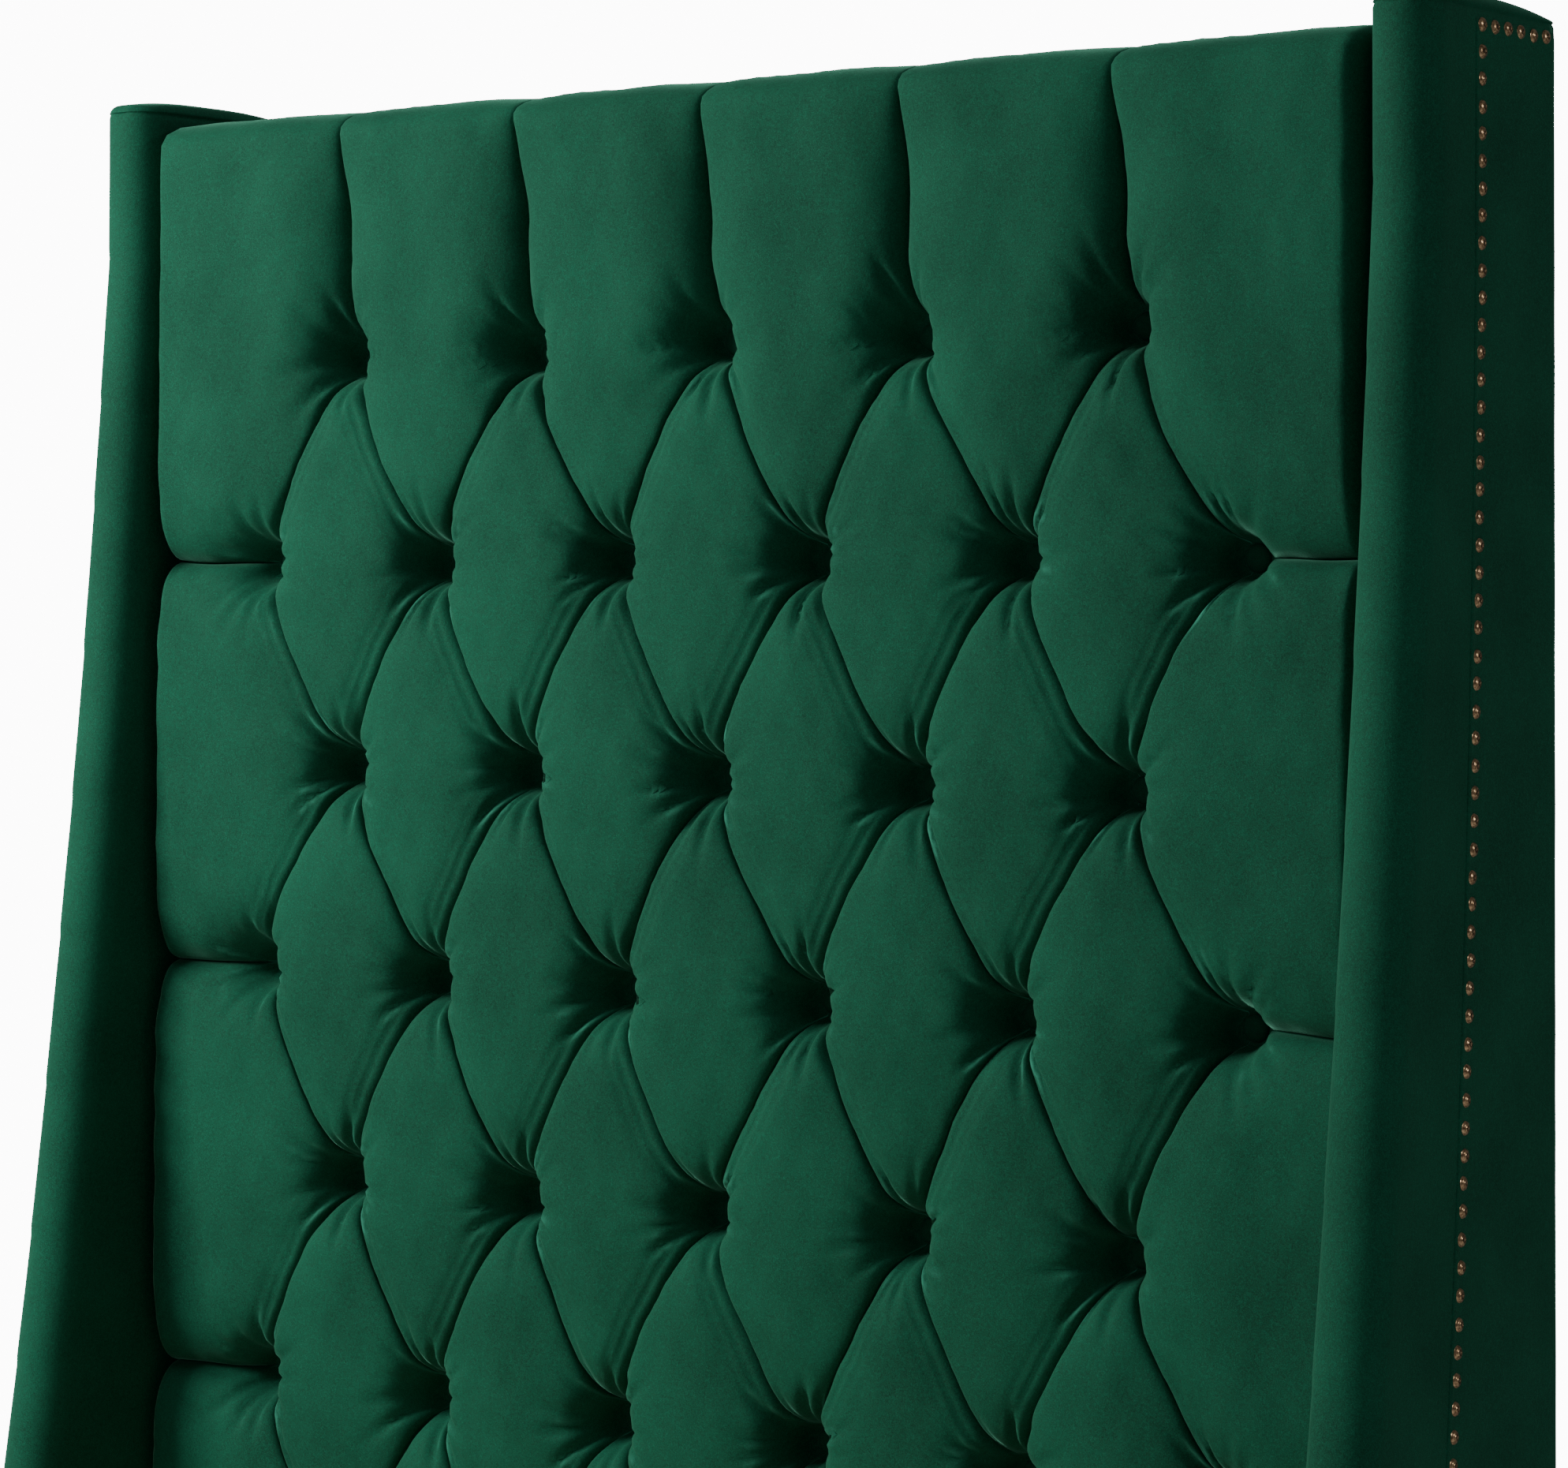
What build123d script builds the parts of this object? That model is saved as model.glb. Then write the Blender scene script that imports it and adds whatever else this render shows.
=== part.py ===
from build123d import *
import math
import os

# Upholstered bed for a 1524 x 2032 mm mattress, with a tall diamond-tufted
# headboard between two padded wings. Millimetres, +Z up, +X to the right of
# somebody who stands at the foot and looks at the headboard, which is at +Y.
# The origin is on the floor, in the middle of the bed.

# ---- overall ----
BED_BACK = 1175.0
BED_FOOT = -1175.0
WING_TOP = 2116.0

# ---- mattress support ----
SLAT_TOP = 300.0
SLAT_THICK = 18.0
SLAT_WIDTH = 90.0
SLAT_COUNT = 11
SLAT_HALF_LENGTH = 792.0
SLAT_FIRST_Y = -1050.0
SLAT_LAST_Y = 870.0

# ---- wings ----
WING_INNER_X = 796.0
WING_OUTER_X = 871.0
WING_BOTTOM = 12.0
BULLNOSE_R = 35.5
WING_CAP_R = 16.0
COVER = 1.5
WING_SKIN_INNER_X = 809.0
WING_FRAME_INNER_X = 815.0
WING_FRAME_OUTER_X = 865.0
WING_FRAME_TOP = 2092.0
POST_DEPTH = 60.0
POST_SETBACK = 22.0
SKIN_SETBACK = 37.0
POST_BEHIND_NAILS = 30.0
SEAM_BEFORE_NAILS = 12.0

# Front line of a wing: it leans forward towards the floor as a parabola,
# then runs out into a plumb line behind the side rail.
FRONT_Y_AT_REF = 893.0
REF_Z = 1579.0
FRONT_SLOPE = 0.090
FRONT_BEND = 3.19e-5
PLUMB_START_Z = 560.0
PLUMB_END_Z = 300.0

# Line of the nails on a wing's side: a parabola that is upright at its top end.
NAIL_LINE_TOP_Y = 1025.0
NAIL_LINE_BEND = 3.36e-5

# ---- tufted panel ----
PANEL_HALF_WIDTH = 792.5
PANEL_TOP = 2088.0
PANEL_BOTTOM = 290.0
PANEL_FRONT = 928.0
PANEL_EDGE_R = 40.0
BUTTON_PLANE_Y = 1002.0
BUTTON_R = 14.5
BUTTON_DOME = 5.0
BUTTON_SPACING = 254.0
ROW_SPACING = 228.6
TOP_ROW_Z = 1807.6
ROW_COUNTS = (5, 6, 5, 6, 5, 6, 5)
POCKET_MOUTH_R = 46.0
POCKET_FLOOR_R = 18.0
TIE_R = 1.5
TIE_HOLE_R = 3.0
TOGGLE_R = 9.0

# ---- headboard frame ----
BOARD_FRONT = 1012.0
BOARD_THICK = 12.0
BOARD_HALF_WIDTH = 785.0
FRAME_FRONT = BOARD_FRONT + BOARD_THICK
FRAME_BACK = 1160.0
FRAME_TOP = 2063.0
FRAME_BOTTOM = 190.0
LUMBER = 22.0
STILE_INNER_X = WING_SKIN_INNER_X - LUMBER
MID_RAIL_Z = (768.0, 1225.0, 1682.0)

# ---- side rails ----
RAIL_INNER_X = WING_INNER_X
RAIL_CORE = 25.0
RAIL_PAD = 30.0
RAIL_TOP = 370.0
RAIL_BOTTOM = 130.0
RAIL_TOP_PAD = 20.0
RAIL_EDGE_R = 14.0
LEDGE = 30.0
LEDGE_HEIGHT = 40.0
LEDGE_BACK = 924.0

# ---- footboard ----
FOOTBOARD_INNER_Y = -1110.0
FOOTBOARD_HALF_WIDTH = 858.0
FOOTBOARD_TOP = 395.0
FOOTBOARD_BOTTOM = 110.0
FOOTBOARD_CORE = 30.0
FOOTBOARD_EDGE_R = 18.0
FOOT_X = 745.0
FOOT_TOP_SIZE = 84.0
FOOT_BOTTOM_SIZE = 62.0
FOOT_DEPTH = 56.0
GLIDE_HEIGHT = 12.0
GLIDE_R = 14.0

# ---- centre support ----
BEAM_HALF_WIDTH = 20.0
BEAM_HEIGHT = 70.0
LEG_SIZE = 50.0
LEG_Y = (-420.0, 420.0)
LEG_BOTTOM = 30.0
INSERT_R = 8.0
INSERT_LENGTH = 40.0
STUD_R = 5.0
STUD_CLEARANCE = 0.06
STUD_TOP = 55.0
GLIDE_DISC_R = 20.0
GLIDE_DISC_HEIGHT = 8.0
STUD_BORE_TOP = 72.0

# ---- fasteners ----
BOLT_R = 4.0
BOLT_HEAD_R = 7.0
BOLT_HEAD_H = 5.0
BRACKET_THICK = 3.0
BRACKET_LEG = 60.0
BRACKET_Z = (150.0, 240.0)
BRACKET_BOLT_Z = (170.0, 220.0)
STRAP_HALF = 90.0
WING_BOLT_Z = (450.0, 1150.0, 1900.0)
HANGER_HALF = 46.0
HANGER_SHELF = 40.0
NAIL_HEAD_R = 7.0
NAIL_HEAD_H = 3.8
NAIL_PITCH = 26.0
NAIL_SHANK_R = 0.9
NAIL_SHANK = 9.0
TOP_NAIL_Z = 2083.0

BEAM_TOP = SLAT_TOP - SLAT_THICK
RAIL_CORE_TOP = RAIL_TOP - RAIL_TOP_PAD - COVER
RAIL_OUTER_X = RAIL_INNER_X + RAIL_CORE + RAIL_PAD


def block(x0, x1, y0, y1, z0, z1):
    """Box between two corners."""
    centre = Pos((x0 + x1) / 2, (y0 + y1) / 2, (z0 + z1) / 2)
    return centre * Box(x1 - x0, y1 - y0, z1 - z0)


def along_x(x, y, z, radius, length):
    """Cylinder whose axis runs towards +X from the point given."""
    return Pos(x + length / 2, y, z) * Rot(0, 90, 0) * Cylinder(radius, length)


def along_y(x, y, z, radius, length):
    """Cylinder whose axis runs towards +Y from the point given."""
    return Pos(x, y + length / 2, z) * Rot(90, 0, 0) * Cylinder(radius, length)


def along_z(x, y, z, radius, length):
    """Cylinder whose axis runs towards +Z from the point given."""
    return Pos(x, y, z + length / 2) * Cylinder(radius, length)


def dome(radius, height):
    """Flat-bottomed domed head that stands on the origin, towards +Z."""
    ball_r = (radius**2 + height**2) / (2 * height)
    return Pos(0, 0, height - ball_r) * Sphere(ball_r) & block(-radius, radius, -radius, radius, 0, height + 1)


def mirrored(shape):
    """Left-hand copy of a right-hand shape."""
    return mirror(shape, about=Plane.YZ)


def save(name, shape):
    """Write one node, its separate solids kept apart."""
    solids = list(shape) if isinstance(shape, (list, tuple)) else [shape]
    pieces = [solid for item in solids for solid in item.solids()]
    part = pieces[0] if len(pieces) == 1 else Compound(children=pieces)
    part.label = name
    export_step(part, os.path.join("parts", name + ".step"))


# ---- wing outline ----


def front_y(z):
    """Front line of the wing above the run-out, as a Y for a height."""
    drop = REF_Z - z
    return FRONT_Y_AT_REF - FRONT_SLOPE * drop - FRONT_BEND * drop**2


def front_slope(z):
    """How fast the front line moves in Y for each millimetre of height."""
    return FRONT_SLOPE + 2 * FRONT_BEND * (REF_Z - z)


PLUMB_Y = front_y(PLUMB_START_Z) - front_slope(PLUMB_START_Z) * (PLUMB_START_Z - PLUMB_END_Z) / 2


def wing_face(setback, back, bottom, top):
    """Side outline of the wing, its front line moved back by setback."""
    middle_z = (top + PLUMB_START_Z) / 2
    start_y = front_y(PLUMB_START_Z) + setback
    middle_y = start_y + front_slope(PLUMB_START_Z) * (middle_z - PLUMB_START_Z)
    plumb = PLUMB_Y + setback
    lean = Bezier((0, front_y(top) + setback, top), (0, middle_y, middle_z), (0, start_y, PLUMB_START_Z))
    run_out = Bezier(
        (0, start_y, PLUMB_START_Z),
        (0, plumb, (PLUMB_START_Z + PLUMB_END_Z) / 2),
        (0, plumb, PLUMB_END_Z),
    )
    rest = Polyline(
        (0, plumb, PLUMB_END_Z),
        (0, plumb, bottom),
        (0, back, bottom),
        (0, back, top),
        (0, front_y(top) + setback, top),
    )
    return make_face(lean + run_out + rest)


def wing_slab(x0, x1, setback, back, bottom, top):
    """Flat slab with the wing's side outline."""
    return Pos(x0, 0, 0) * extrude(wing_face(setback, back, bottom, top), x1 - x0, dir=(1, 0, 0))


def wing_body(inset):
    """Padded outer shape of the right wing, made smaller by inset all round."""
    x0 = WING_INNER_X + inset
    x1 = WING_OUTER_X - inset
    top = WING_TOP - inset
    body = wing_slab(x0, x1, inset, BED_BACK - inset, WING_BOTTOM + inset, top)

    def is_front(edge):
        centre = edge @ 0.5
        on_side = min(abs(centre.X - x0), abs(centre.X - x1)) < 0.01
        between = WING_BOTTOM + inset + 1 < centre.Z < top - 1
        return on_side and between and centre.Y < BED_BACK - inset - 1

    body = fillet(body.edges().filter_by(is_front), BULLNOSE_R - inset)
    cap = body.faces().sort_by(Axis.Z)[-1]
    rim = [edge for edge in cap.edges() if (edge @ 0.5).Y < BED_BACK - inset - 1]
    body = fillet(rim, WING_CAP_R)
    # Behind the tufted panel the wing's inner board stands bare against the headboard frame.
    bare = block(x0 - 5, WING_SKIN_INNER_X, BOARD_FRONT + 8, BED_BACK + 5, 0, FRAME_TOP + 1)
    return body - bare


def nail_line_y(z):
    """Y of the nail line on a wing's side, for a height."""
    return NAIL_LINE_TOP_Y - NAIL_LINE_BEND * (TOP_NAIL_Z - z) ** 2


def slab_behind_nails(x0, x1, offset, back, bottom, top):
    """Flat slab from the nail line, moved back by offset, to the wing's back."""
    middle_z = (top + bottom) / 2
    slope_at_top = 2 * NAIL_LINE_BEND * (TOP_NAIL_Z - top)
    top_y = nail_line_y(top) + offset
    bottom_y = nail_line_y(bottom) + offset
    middle_y = top_y + slope_at_top * (middle_z - top)
    lean = Bezier((0, top_y, top), (0, middle_y, middle_z), (0, bottom_y, bottom))
    rest = Polyline((0, bottom_y, bottom), (0, back, bottom), (0, back, top), (0, top_y, top))
    return Pos(x0, 0, 0) * extrude(make_face(lean + rest), x1 - x0, dir=(1, 0, 0))


def wing_frame_zone():
    """Room inside the wing's padding for its posts, rails and boards."""
    back = BED_BACK - COVER
    bottom = WING_BOTTOM + COVER
    posts = wing_slab(WING_FRAME_INNER_X, WING_FRAME_OUTER_X, POST_SETBACK, back, bottom, WING_FRAME_TOP)
    boards = wing_slab(
        WING_SKIN_INNER_X, WING_OUTER_X - COVER, SKIN_SETBACK, back, bottom, WING_FRAME_TOP
    )
    return posts + boards


def nail(y, z):
    """Domed nail head with its shank, driven into the right wing's outer side."""
    head = Pos(WING_OUTER_X, y, z) * Rot(0, 90, 0) * dome(NAIL_HEAD_R, NAIL_HEAD_H)
    return head + along_x(WING_OUTER_X - NAIL_SHANK, y, z, NAIL_SHANK_R, NAIL_SHANK)


def nail_places():
    """Points down the nail line, then back along the side's top edge."""
    places = []
    z = TOP_NAIL_Z
    while z > WING_BOTTOM + 20:
        places.append((nail_line_y(z), z))
        z -= NAIL_PITCH / math.hypot(1, 2 * NAIL_LINE_BEND * (TOP_NAIL_Z - z))
    y = places[0][0] + NAIL_PITCH
    while y < BED_BACK - NAIL_PITCH / 2:
        places.append((y, TOP_NAIL_Z))
        y += NAIL_PITCH
    return places


def right_wing():
    """Every node of the right wing, by name without its side."""
    back = BED_BACK - COVER
    bottom = WING_BOTTOM + COVER
    x0 = WING_FRAME_INNER_X
    x1 = WING_FRAME_OUTER_X
    outer = wing_body(0)
    inner = wing_body(COVER)
    slab = wing_slab(x0, x1, POST_SETBACK, back, bottom, WING_FRAME_TOP)
    behind_post = slab_behind_nails(x0, x1, POST_BEHIND_NAILS, back + 50, bottom - 50, WING_FRAME_TOP + 50)
    back_post = block(x0, x1, back - POST_DEPTH, back, bottom, WING_FRAME_TOP)
    open_bay = (slab & behind_post) - back_post
    levels = (bottom, 420, 900, 1400, WING_FRAME_TOP - LUMBER)
    cross_rails = [
        open_bay & block(x0, x1, 500, back, z, z + LUMBER) for z in levels
    ]
    skins = [
        wing_slab(WING_SKIN_INNER_X, x0, SKIN_SETBACK, back, bottom, WING_FRAME_TOP),
        wing_slab(x1, WING_OUTER_X - COVER, SKIN_SETBACK, back, bottom, WING_FRAME_TOP),
    ]
    side_panel_zone = slab_behind_nails(
        WING_OUTER_X - COVER, WING_OUTER_X + 1, -SEAM_BEFORE_NAILS, BED_BACK + 1, WING_BOTTOM - 1, WING_FRAME_TOP
    )
    side_panel_zone += block(0, WING_OUTER_X + 1, BED_BACK - COVER, BED_BACK + 1, 0, WING_FRAME_TOP)
    shell = outer - inner
    return {
        "wing_front_post": slab - behind_post,
        "wing_back_post": back_post,
        "wing_cross_rails": cross_rails,
        "wing_skins": skins,
        "wing_foam": inner - wing_frame_zone(),
        "wing_cover": shell - side_panel_zone - wing_frame_zone(),
        "wing_outer_cover": shell & side_panel_zone,
        "wing_nails": [nail(y, z) for y, z in nail_places()],
    }


# ---- tufted panel ----


def button_places():
    """Middle of every button as (x, z), rows of five and six in turn."""
    places = []
    for row, count in enumerate(ROW_COUNTS):
        z = TOP_ROW_Z - row * ROW_SPACING
        for column in range(count):
            places.append(((column - (count - 1) / 2) * BUTTON_SPACING, z))
    return places


def panel_body(inset, pocket_inset):
    """Padded front and top of the headboard, with a round pocket for each button."""
    half = PANEL_HALF_WIDTH - inset
    front = block(-half, half, PANEL_FRONT + inset, BOARD_FRONT, PANEL_BOTTOM, PANEL_TOP - inset)
    rim = [
        edge
        for edge in front.faces().sort_by(Axis.Y)[0].edges()
        if (edge @ 0.5).Z > PANEL_BOTTOM + 1
    ]
    front = fillet(rim, PANEL_EDGE_R)
    top = block(-half, half, BOARD_FRONT, FRAME_BACK, FRAME_TOP, PANEL_TOP - inset)
    depth = BUTTON_PLANE_Y + BUTTON_DOME / 2 - pocket_inset - PANEL_FRONT
    pocket = Rot(90, 0, 0) * Cone(POCKET_FLOOR_R + pocket_inset, POCKET_MOUTH_R + pocket_inset, depth)
    pockets = [Pos(x, PANEL_FRONT + depth / 2, z) * pocket for x, z in button_places()]
    return front + top - pockets


def tufted_panel():
    """Board, foam, cover, buttons and ties of the tufted panel."""
    places = button_places()
    floor_y = BUTTON_PLANE_Y + BUTTON_DOME / 2
    board = block(
        -BOARD_HALF_WIDTH, BOARD_HALF_WIDTH, BOARD_FRONT, FRAME_FRONT, PANEL_BOTTOM, FRAME_TOP
    )
    board -= [along_y(x, BOARD_FRONT - 1, z, TIE_HOLE_R, BOARD_THICK + 2) for x, z in places]
    foam = panel_body(COVER, -COVER)
    foam -= [along_y(x, floor_y - 5, z, TIE_HOLE_R, 20) for x, z in places]
    cover = panel_body(0, 0) - foam
    cover -= [along_y(x, floor_y - 5, z, TIE_HOLE_R, 20) for x, z in places]
    button = Pos(0, floor_y, 0) * Rot(90, 0, 0) * dome(BUTTON_R, BUTTON_DOME)
    tie = along_y(0, floor_y, 0, TIE_R, FRAME_FRONT - floor_y)
    tie += along_y(0, FRAME_FRONT, 0, TOGGLE_R, 4)
    return {
        "tuft_board": board,
        "tuft_foam": foam,
        "tufted_cover": cover,
        "tuft_buttons": [Pos(x, 0, z) * button for x, z in places],
        "button_ties": [Pos(x, 0, z) * tie for x, z in places],
    }


def headboard_frame():
    """Box frame behind the tuft board, and the lining over its back."""
    x = STILE_INNER_X
    stile = block(x, x + LUMBER, FRAME_FRONT, FRAME_BACK, FRAME_BOTTOM, FRAME_TOP)
    return {
        "headboard_stile_right": stile,
        "headboard_stile_left": mirrored(stile),
        "headboard_top_rail": block(-x, x, FRAME_FRONT, FRAME_BACK, FRAME_TOP - LUMBER, FRAME_TOP),
        "headboard_mid_rails": [
            block(-x, x, FRAME_FRONT, FRAME_BACK, z, z + LUMBER) for z in MID_RAIL_Z
        ],
        "headboard_bottom_rail": block(-x, x, FRAME_FRONT, FRAME_FRONT + LUMBER, FRAME_BOTTOM, 330),
        "headboard_back_cover": block(
            -WING_SKIN_INNER_X, WING_SKIN_INNER_X, FRAME_BACK, FRAME_BACK + COVER, FRAME_BOTTOM, FRAME_TOP
        ),
    }


# ---- side rails, footboard, feet ----


def right_rail():
    """Core board, padding, cover and slat ledge of the right side rail."""
    y0 = FOOTBOARD_INNER_Y
    y1 = PLUMB_Y
    x0 = RAIL_INNER_X
    core = block(x0, x0 + RAIL_CORE, y0, y1, RAIL_BOTTOM + COVER, RAIL_CORE_TOP)

    def padding(inset):
        x1 = RAIL_OUTER_X + COVER - inset
        pad = block(x0, x1, y0, y1, RAIL_BOTTOM + inset, RAIL_TOP - inset)
        outer_top = pad.edges().filter_by(Axis.Y).sort_by(lambda edge: (edge @ 0.5).X + (edge @ 0.5).Z)[-1]
        return fillet(outer_top, RAIL_EDGE_R - inset)

    foam = padding(COVER) - block(x0 - 1, x0 + RAIL_CORE, y0, y1, 0, RAIL_CORE_TOP)
    cover = padding(0) - padding(COVER) - core
    ledge = block(x0 - LEDGE, x0, y0, LEDGE_BACK, BEAM_TOP - LEDGE_HEIGHT, BEAM_TOP)
    return {"rail_core": core, "rail_foam": foam, "rail_cover": cover, "slat_ledge": ledge}


def footboard():
    """Core board, padding and cover of the footboard."""
    y_core = FOOTBOARD_INNER_Y - COVER
    half = FOOTBOARD_HALF_WIDTH - 14

    def padding(inset):
        pad = block(
            -FOOTBOARD_HALF_WIDTH + inset,
            FOOTBOARD_HALF_WIDTH - inset,
            BED_FOOT + inset,
            FOOTBOARD_INNER_Y - inset,
            FOOTBOARD_BOTTOM + inset,
            FOOTBOARD_TOP - inset,
        )
        rim = [
            edge
            for edge in pad.faces().sort_by(Axis.Y)[0].edges()
            if (edge @ 0.5).Z > FOOTBOARD_BOTTOM + inset + 1
        ]
        return fillet(rim, FOOTBOARD_EDGE_R - inset)

    core = block(
        -half, half, y_core - FOOTBOARD_CORE, y_core, FOOTBOARD_BOTTOM + COVER, FOOTBOARD_TOP - 20
    )
    return {
        "footboard_core": core,
        "footboard_foam": padding(COVER) - core,
        "footboard_cover": padding(0) - padding(COVER),
    }


def right_foot():
    """Tapered block foot under the footboard."""
    middle_y = FOOTBOARD_INNER_Y - 32
    top = Plane((FOOT_X, middle_y, FOOTBOARD_BOTTOM)) * Rectangle(FOOT_TOP_SIZE, FOOT_DEPTH)
    bottom = Plane((FOOT_X, middle_y, GLIDE_HEIGHT)) * Rectangle(FOOT_BOTTOM_SIZE, FOOT_DEPTH - 12)
    return loft([bottom, top])


def floor_glides():
    """Plastic glides nailed under the wings and the block feet."""
    wing_x = (WING_INNER_X + WING_OUTER_X) / 2
    spots = [(FOOT_X, FOOTBOARD_INNER_Y - 32), (wing_x, PLUMB_Y + 60), (wing_x, BED_BACK - 45)]
    return [
        along_z(side * x, y, 0, GLIDE_R, GLIDE_HEIGHT) for x, y in spots for side in (1, -1)
    ]


# ---- centre support and slats ----


def beam_ends():
    """Y of the beam's two ends, each on its hanger plate."""
    return FOOTBOARD_INNER_Y + BRACKET_THICK, FRAME_FRONT - BRACKET_THICK


def centre_leg(y):
    """Timber leg with a bored foot for its threaded insert."""
    half = LEG_SIZE / 2
    leg = block(-half, half, y - half, y + half, LEG_BOTTOM, BEAM_TOP - BEAM_HEIGHT)
    leg = fillet(leg.edges().filter_by(Axis.Z), 5)
    leg -= along_z(0, y, LEG_BOTTOM, INSERT_R, INSERT_LENGTH)
    return leg - along_z(0, y, LEG_BOTTOM, STUD_R + 1, STUD_BORE_TOP - LEG_BOTTOM)


def leg_insert(y):
    """Threaded sleeve pressed into the foot of a centre leg."""
    sleeve = along_z(0, y, LEG_BOTTOM, INSERT_R, INSERT_LENGTH)
    return sleeve - along_z(0, y, LEG_BOTTOM - 1, STUD_R + STUD_CLEARANCE, INSERT_LENGTH + 2)


def levelling_glide(y):
    """Stud and round foot that screws in and out of a centre leg."""
    disc = along_z(0, y, 0, GLIDE_DISC_R, GLIDE_DISC_HEIGHT)
    disc = chamfer(disc.edges().sort_by(Axis.Z)[-1], 2)
    return disc + along_z(0, y, GLIDE_DISC_HEIGHT - 1, STUD_R, STUD_TOP - GLIDE_DISC_HEIGHT + 1)


def slats():
    """Slats by node name, evenly spaced from foot to head."""
    step = (SLAT_LAST_Y - SLAT_FIRST_Y) / (SLAT_COUNT - 1)
    made = {}
    for number in range(SLAT_COUNT):
        y = SLAT_FIRST_Y + number * step
        slat = block(
            -SLAT_HALF_LENGTH,
            SLAT_HALF_LENGTH,
            y - SLAT_WIDTH / 2,
            y + SLAT_WIDTH / 2,
            BEAM_TOP,
            SLAT_TOP,
        )
        made[f"slat_{number + 1:02d}"] = fillet(slat.edges().filter_by(Axis.X), 3)
    return made


# ---- brackets and bolts ----


def bolt_x(x, y, z, length):
    """Bolt that is driven towards +X, its head on the near side of x."""
    return along_x(x, y, z, BOLT_R, length) + along_x(x - BOLT_HEAD_H, y, z, BOLT_HEAD_R, BOLT_HEAD_H)


def bolt_y(x, y, z, length, towards):
    """Bolt that is driven towards +Y or -Y from the surface at y."""
    shank = along_y(x, min(y, y + towards * length), z, BOLT_R, length)
    return shank + along_y(x, min(y, y - towards * BOLT_HEAD_H), z, BOLT_HEAD_R, BOLT_HEAD_H)


def right_brackets():
    """Steel of the right side rail: a strap on to the wing and an angle at the footboard."""
    x1 = RAIL_INNER_X
    x0 = x1 - BRACKET_THICK
    foot = FOOTBOARD_INNER_Y
    strap = block(x0, x1, PLUMB_Y - STRAP_HALF, PLUMB_Y + STRAP_HALF, *BRACKET_Z)
    angle = block(x0, x1, foot, foot + BRACKET_LEG, *BRACKET_Z)
    angle += block(x1 - BRACKET_LEG, x1, foot, foot + BRACKET_THICK, *BRACKET_Z)
    return [strap, angle]


def right_bolts():
    """Bolts of the right-hand brackets, and those that draw the wing to the headboard."""
    plate_x = RAIL_INNER_X - BRACKET_THICK
    foot = FOOTBOARD_INNER_Y
    bolts = []
    for z in BRACKET_BOLT_Z:
        bolts.append(bolt_x(plate_x, PLUMB_Y - STRAP_HALF / 2, z, 24))
        bolts.append(bolt_x(plate_x, PLUMB_Y + POST_SETBACK + POST_DEPTH / 2, z, 60))
        bolts.append(bolt_x(plate_x, foot + BRACKET_LEG * 0.6, z, 24))
        bolts.append(bolt_y(RAIL_INNER_X - BRACKET_LEG * 0.6, foot + BRACKET_THICK, z, 28, -1))
    for z in WING_BOLT_Z:
        bolts.append(bolt_x(STILE_INNER_X, BED_BACK - POST_DEPTH / 2, z, 60))
    return bolts


def beam_hanger(y_face, towards):
    """Plate on an end board, with a shelf under the beam."""
    bottom = BEAM_TOP - BEAM_HEIGHT
    low, high = sorted((y_face, y_face - towards * BRACKET_THICK))
    plate = block(-HANGER_HALF, HANGER_HALF, low, high, bottom - BRACKET_THICK, BEAM_TOP)
    low, high = sorted((y_face, y_face - towards * HANGER_SHELF))
    return plate + block(-BEAM_HALF_WIDTH, BEAM_HALF_WIDTH, low, high, bottom - BRACKET_THICK, bottom)


def brackets_and_bolts():
    """All the steel of the frame as two groups."""
    middle_z = BEAM_TOP - BEAM_HEIGHT / 2
    ends = ((FOOTBOARD_INNER_Y, -1), (FRAME_FRONT, 1))
    brackets = right_brackets()
    bolts = right_bolts()
    brackets += [mirrored(item) for item in brackets]
    bolts += [mirrored(item) for item in bolts]
    for y, towards in ends:
        brackets.append(beam_hanger(y, towards))
        for x in (-HANGER_HALF + 11, HANGER_HALF - 11):
            bolts.append(bolt_y(x, y - towards * BRACKET_THICK, middle_z, 22, towards))
    drilled = [bracket - bolts for bracket in brackets]
    return {"bed_brackets": drilled, "frame_bolts": bolts}


def main():
    """Make every node and write it."""
    os.makedirs("parts", exist_ok=True)
    nodes = {}
    nodes.update(headboard_frame())
    nodes.update(tufted_panel())
    for name, shape in right_wing().items():
        shapes = shape if isinstance(shape, list) else [shape]
        nodes["right_" + name] = shapes
        nodes["left_" + name] = [mirrored(item) for item in shapes]
    for name, shape in right_rail().items():
        nodes["right_" + name] = shape
        nodes["left_" + name] = mirrored(shape)
    nodes.update(footboard())
    nodes["foot_right"] = right_foot()
    nodes["foot_left"] = mirrored(nodes["foot_right"])
    nodes["floor_glides"] = floor_glides()
    foot_end, head_end = beam_ends()
    nodes["centre_beam"] = block(
        -BEAM_HALF_WIDTH, BEAM_HALF_WIDTH, foot_end, head_end, BEAM_TOP - BEAM_HEIGHT, BEAM_TOP
    )
    for place, y in zip(("front", "rear"), LEG_Y):
        nodes["centre_leg_" + place] = centre_leg(y)
        nodes["levelling_glide_" + place] = levelling_glide(y)
    nodes["leg_inserts"] = [leg_insert(y) for y in LEG_Y]
    nodes.update(slats())
    nodes.update(brackets_and_bolts())
    for name, shape in nodes.items():
        save(name, shape)


main()
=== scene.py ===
"""Upholstered bed: a diamond-tufted velvet headboard between padded wings, on a slatted base.

Lengths are metres in the bed's own frame: +Z up, +Y towards the headboard, +X to the
right of somebody who stands at the foot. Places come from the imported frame's boxes.
"""

import logging
import math
from dataclasses import dataclass, field
from enum import Enum

import bmesh
import bpy
import numpy as np
from mathutils import Matrix, Vector


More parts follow.
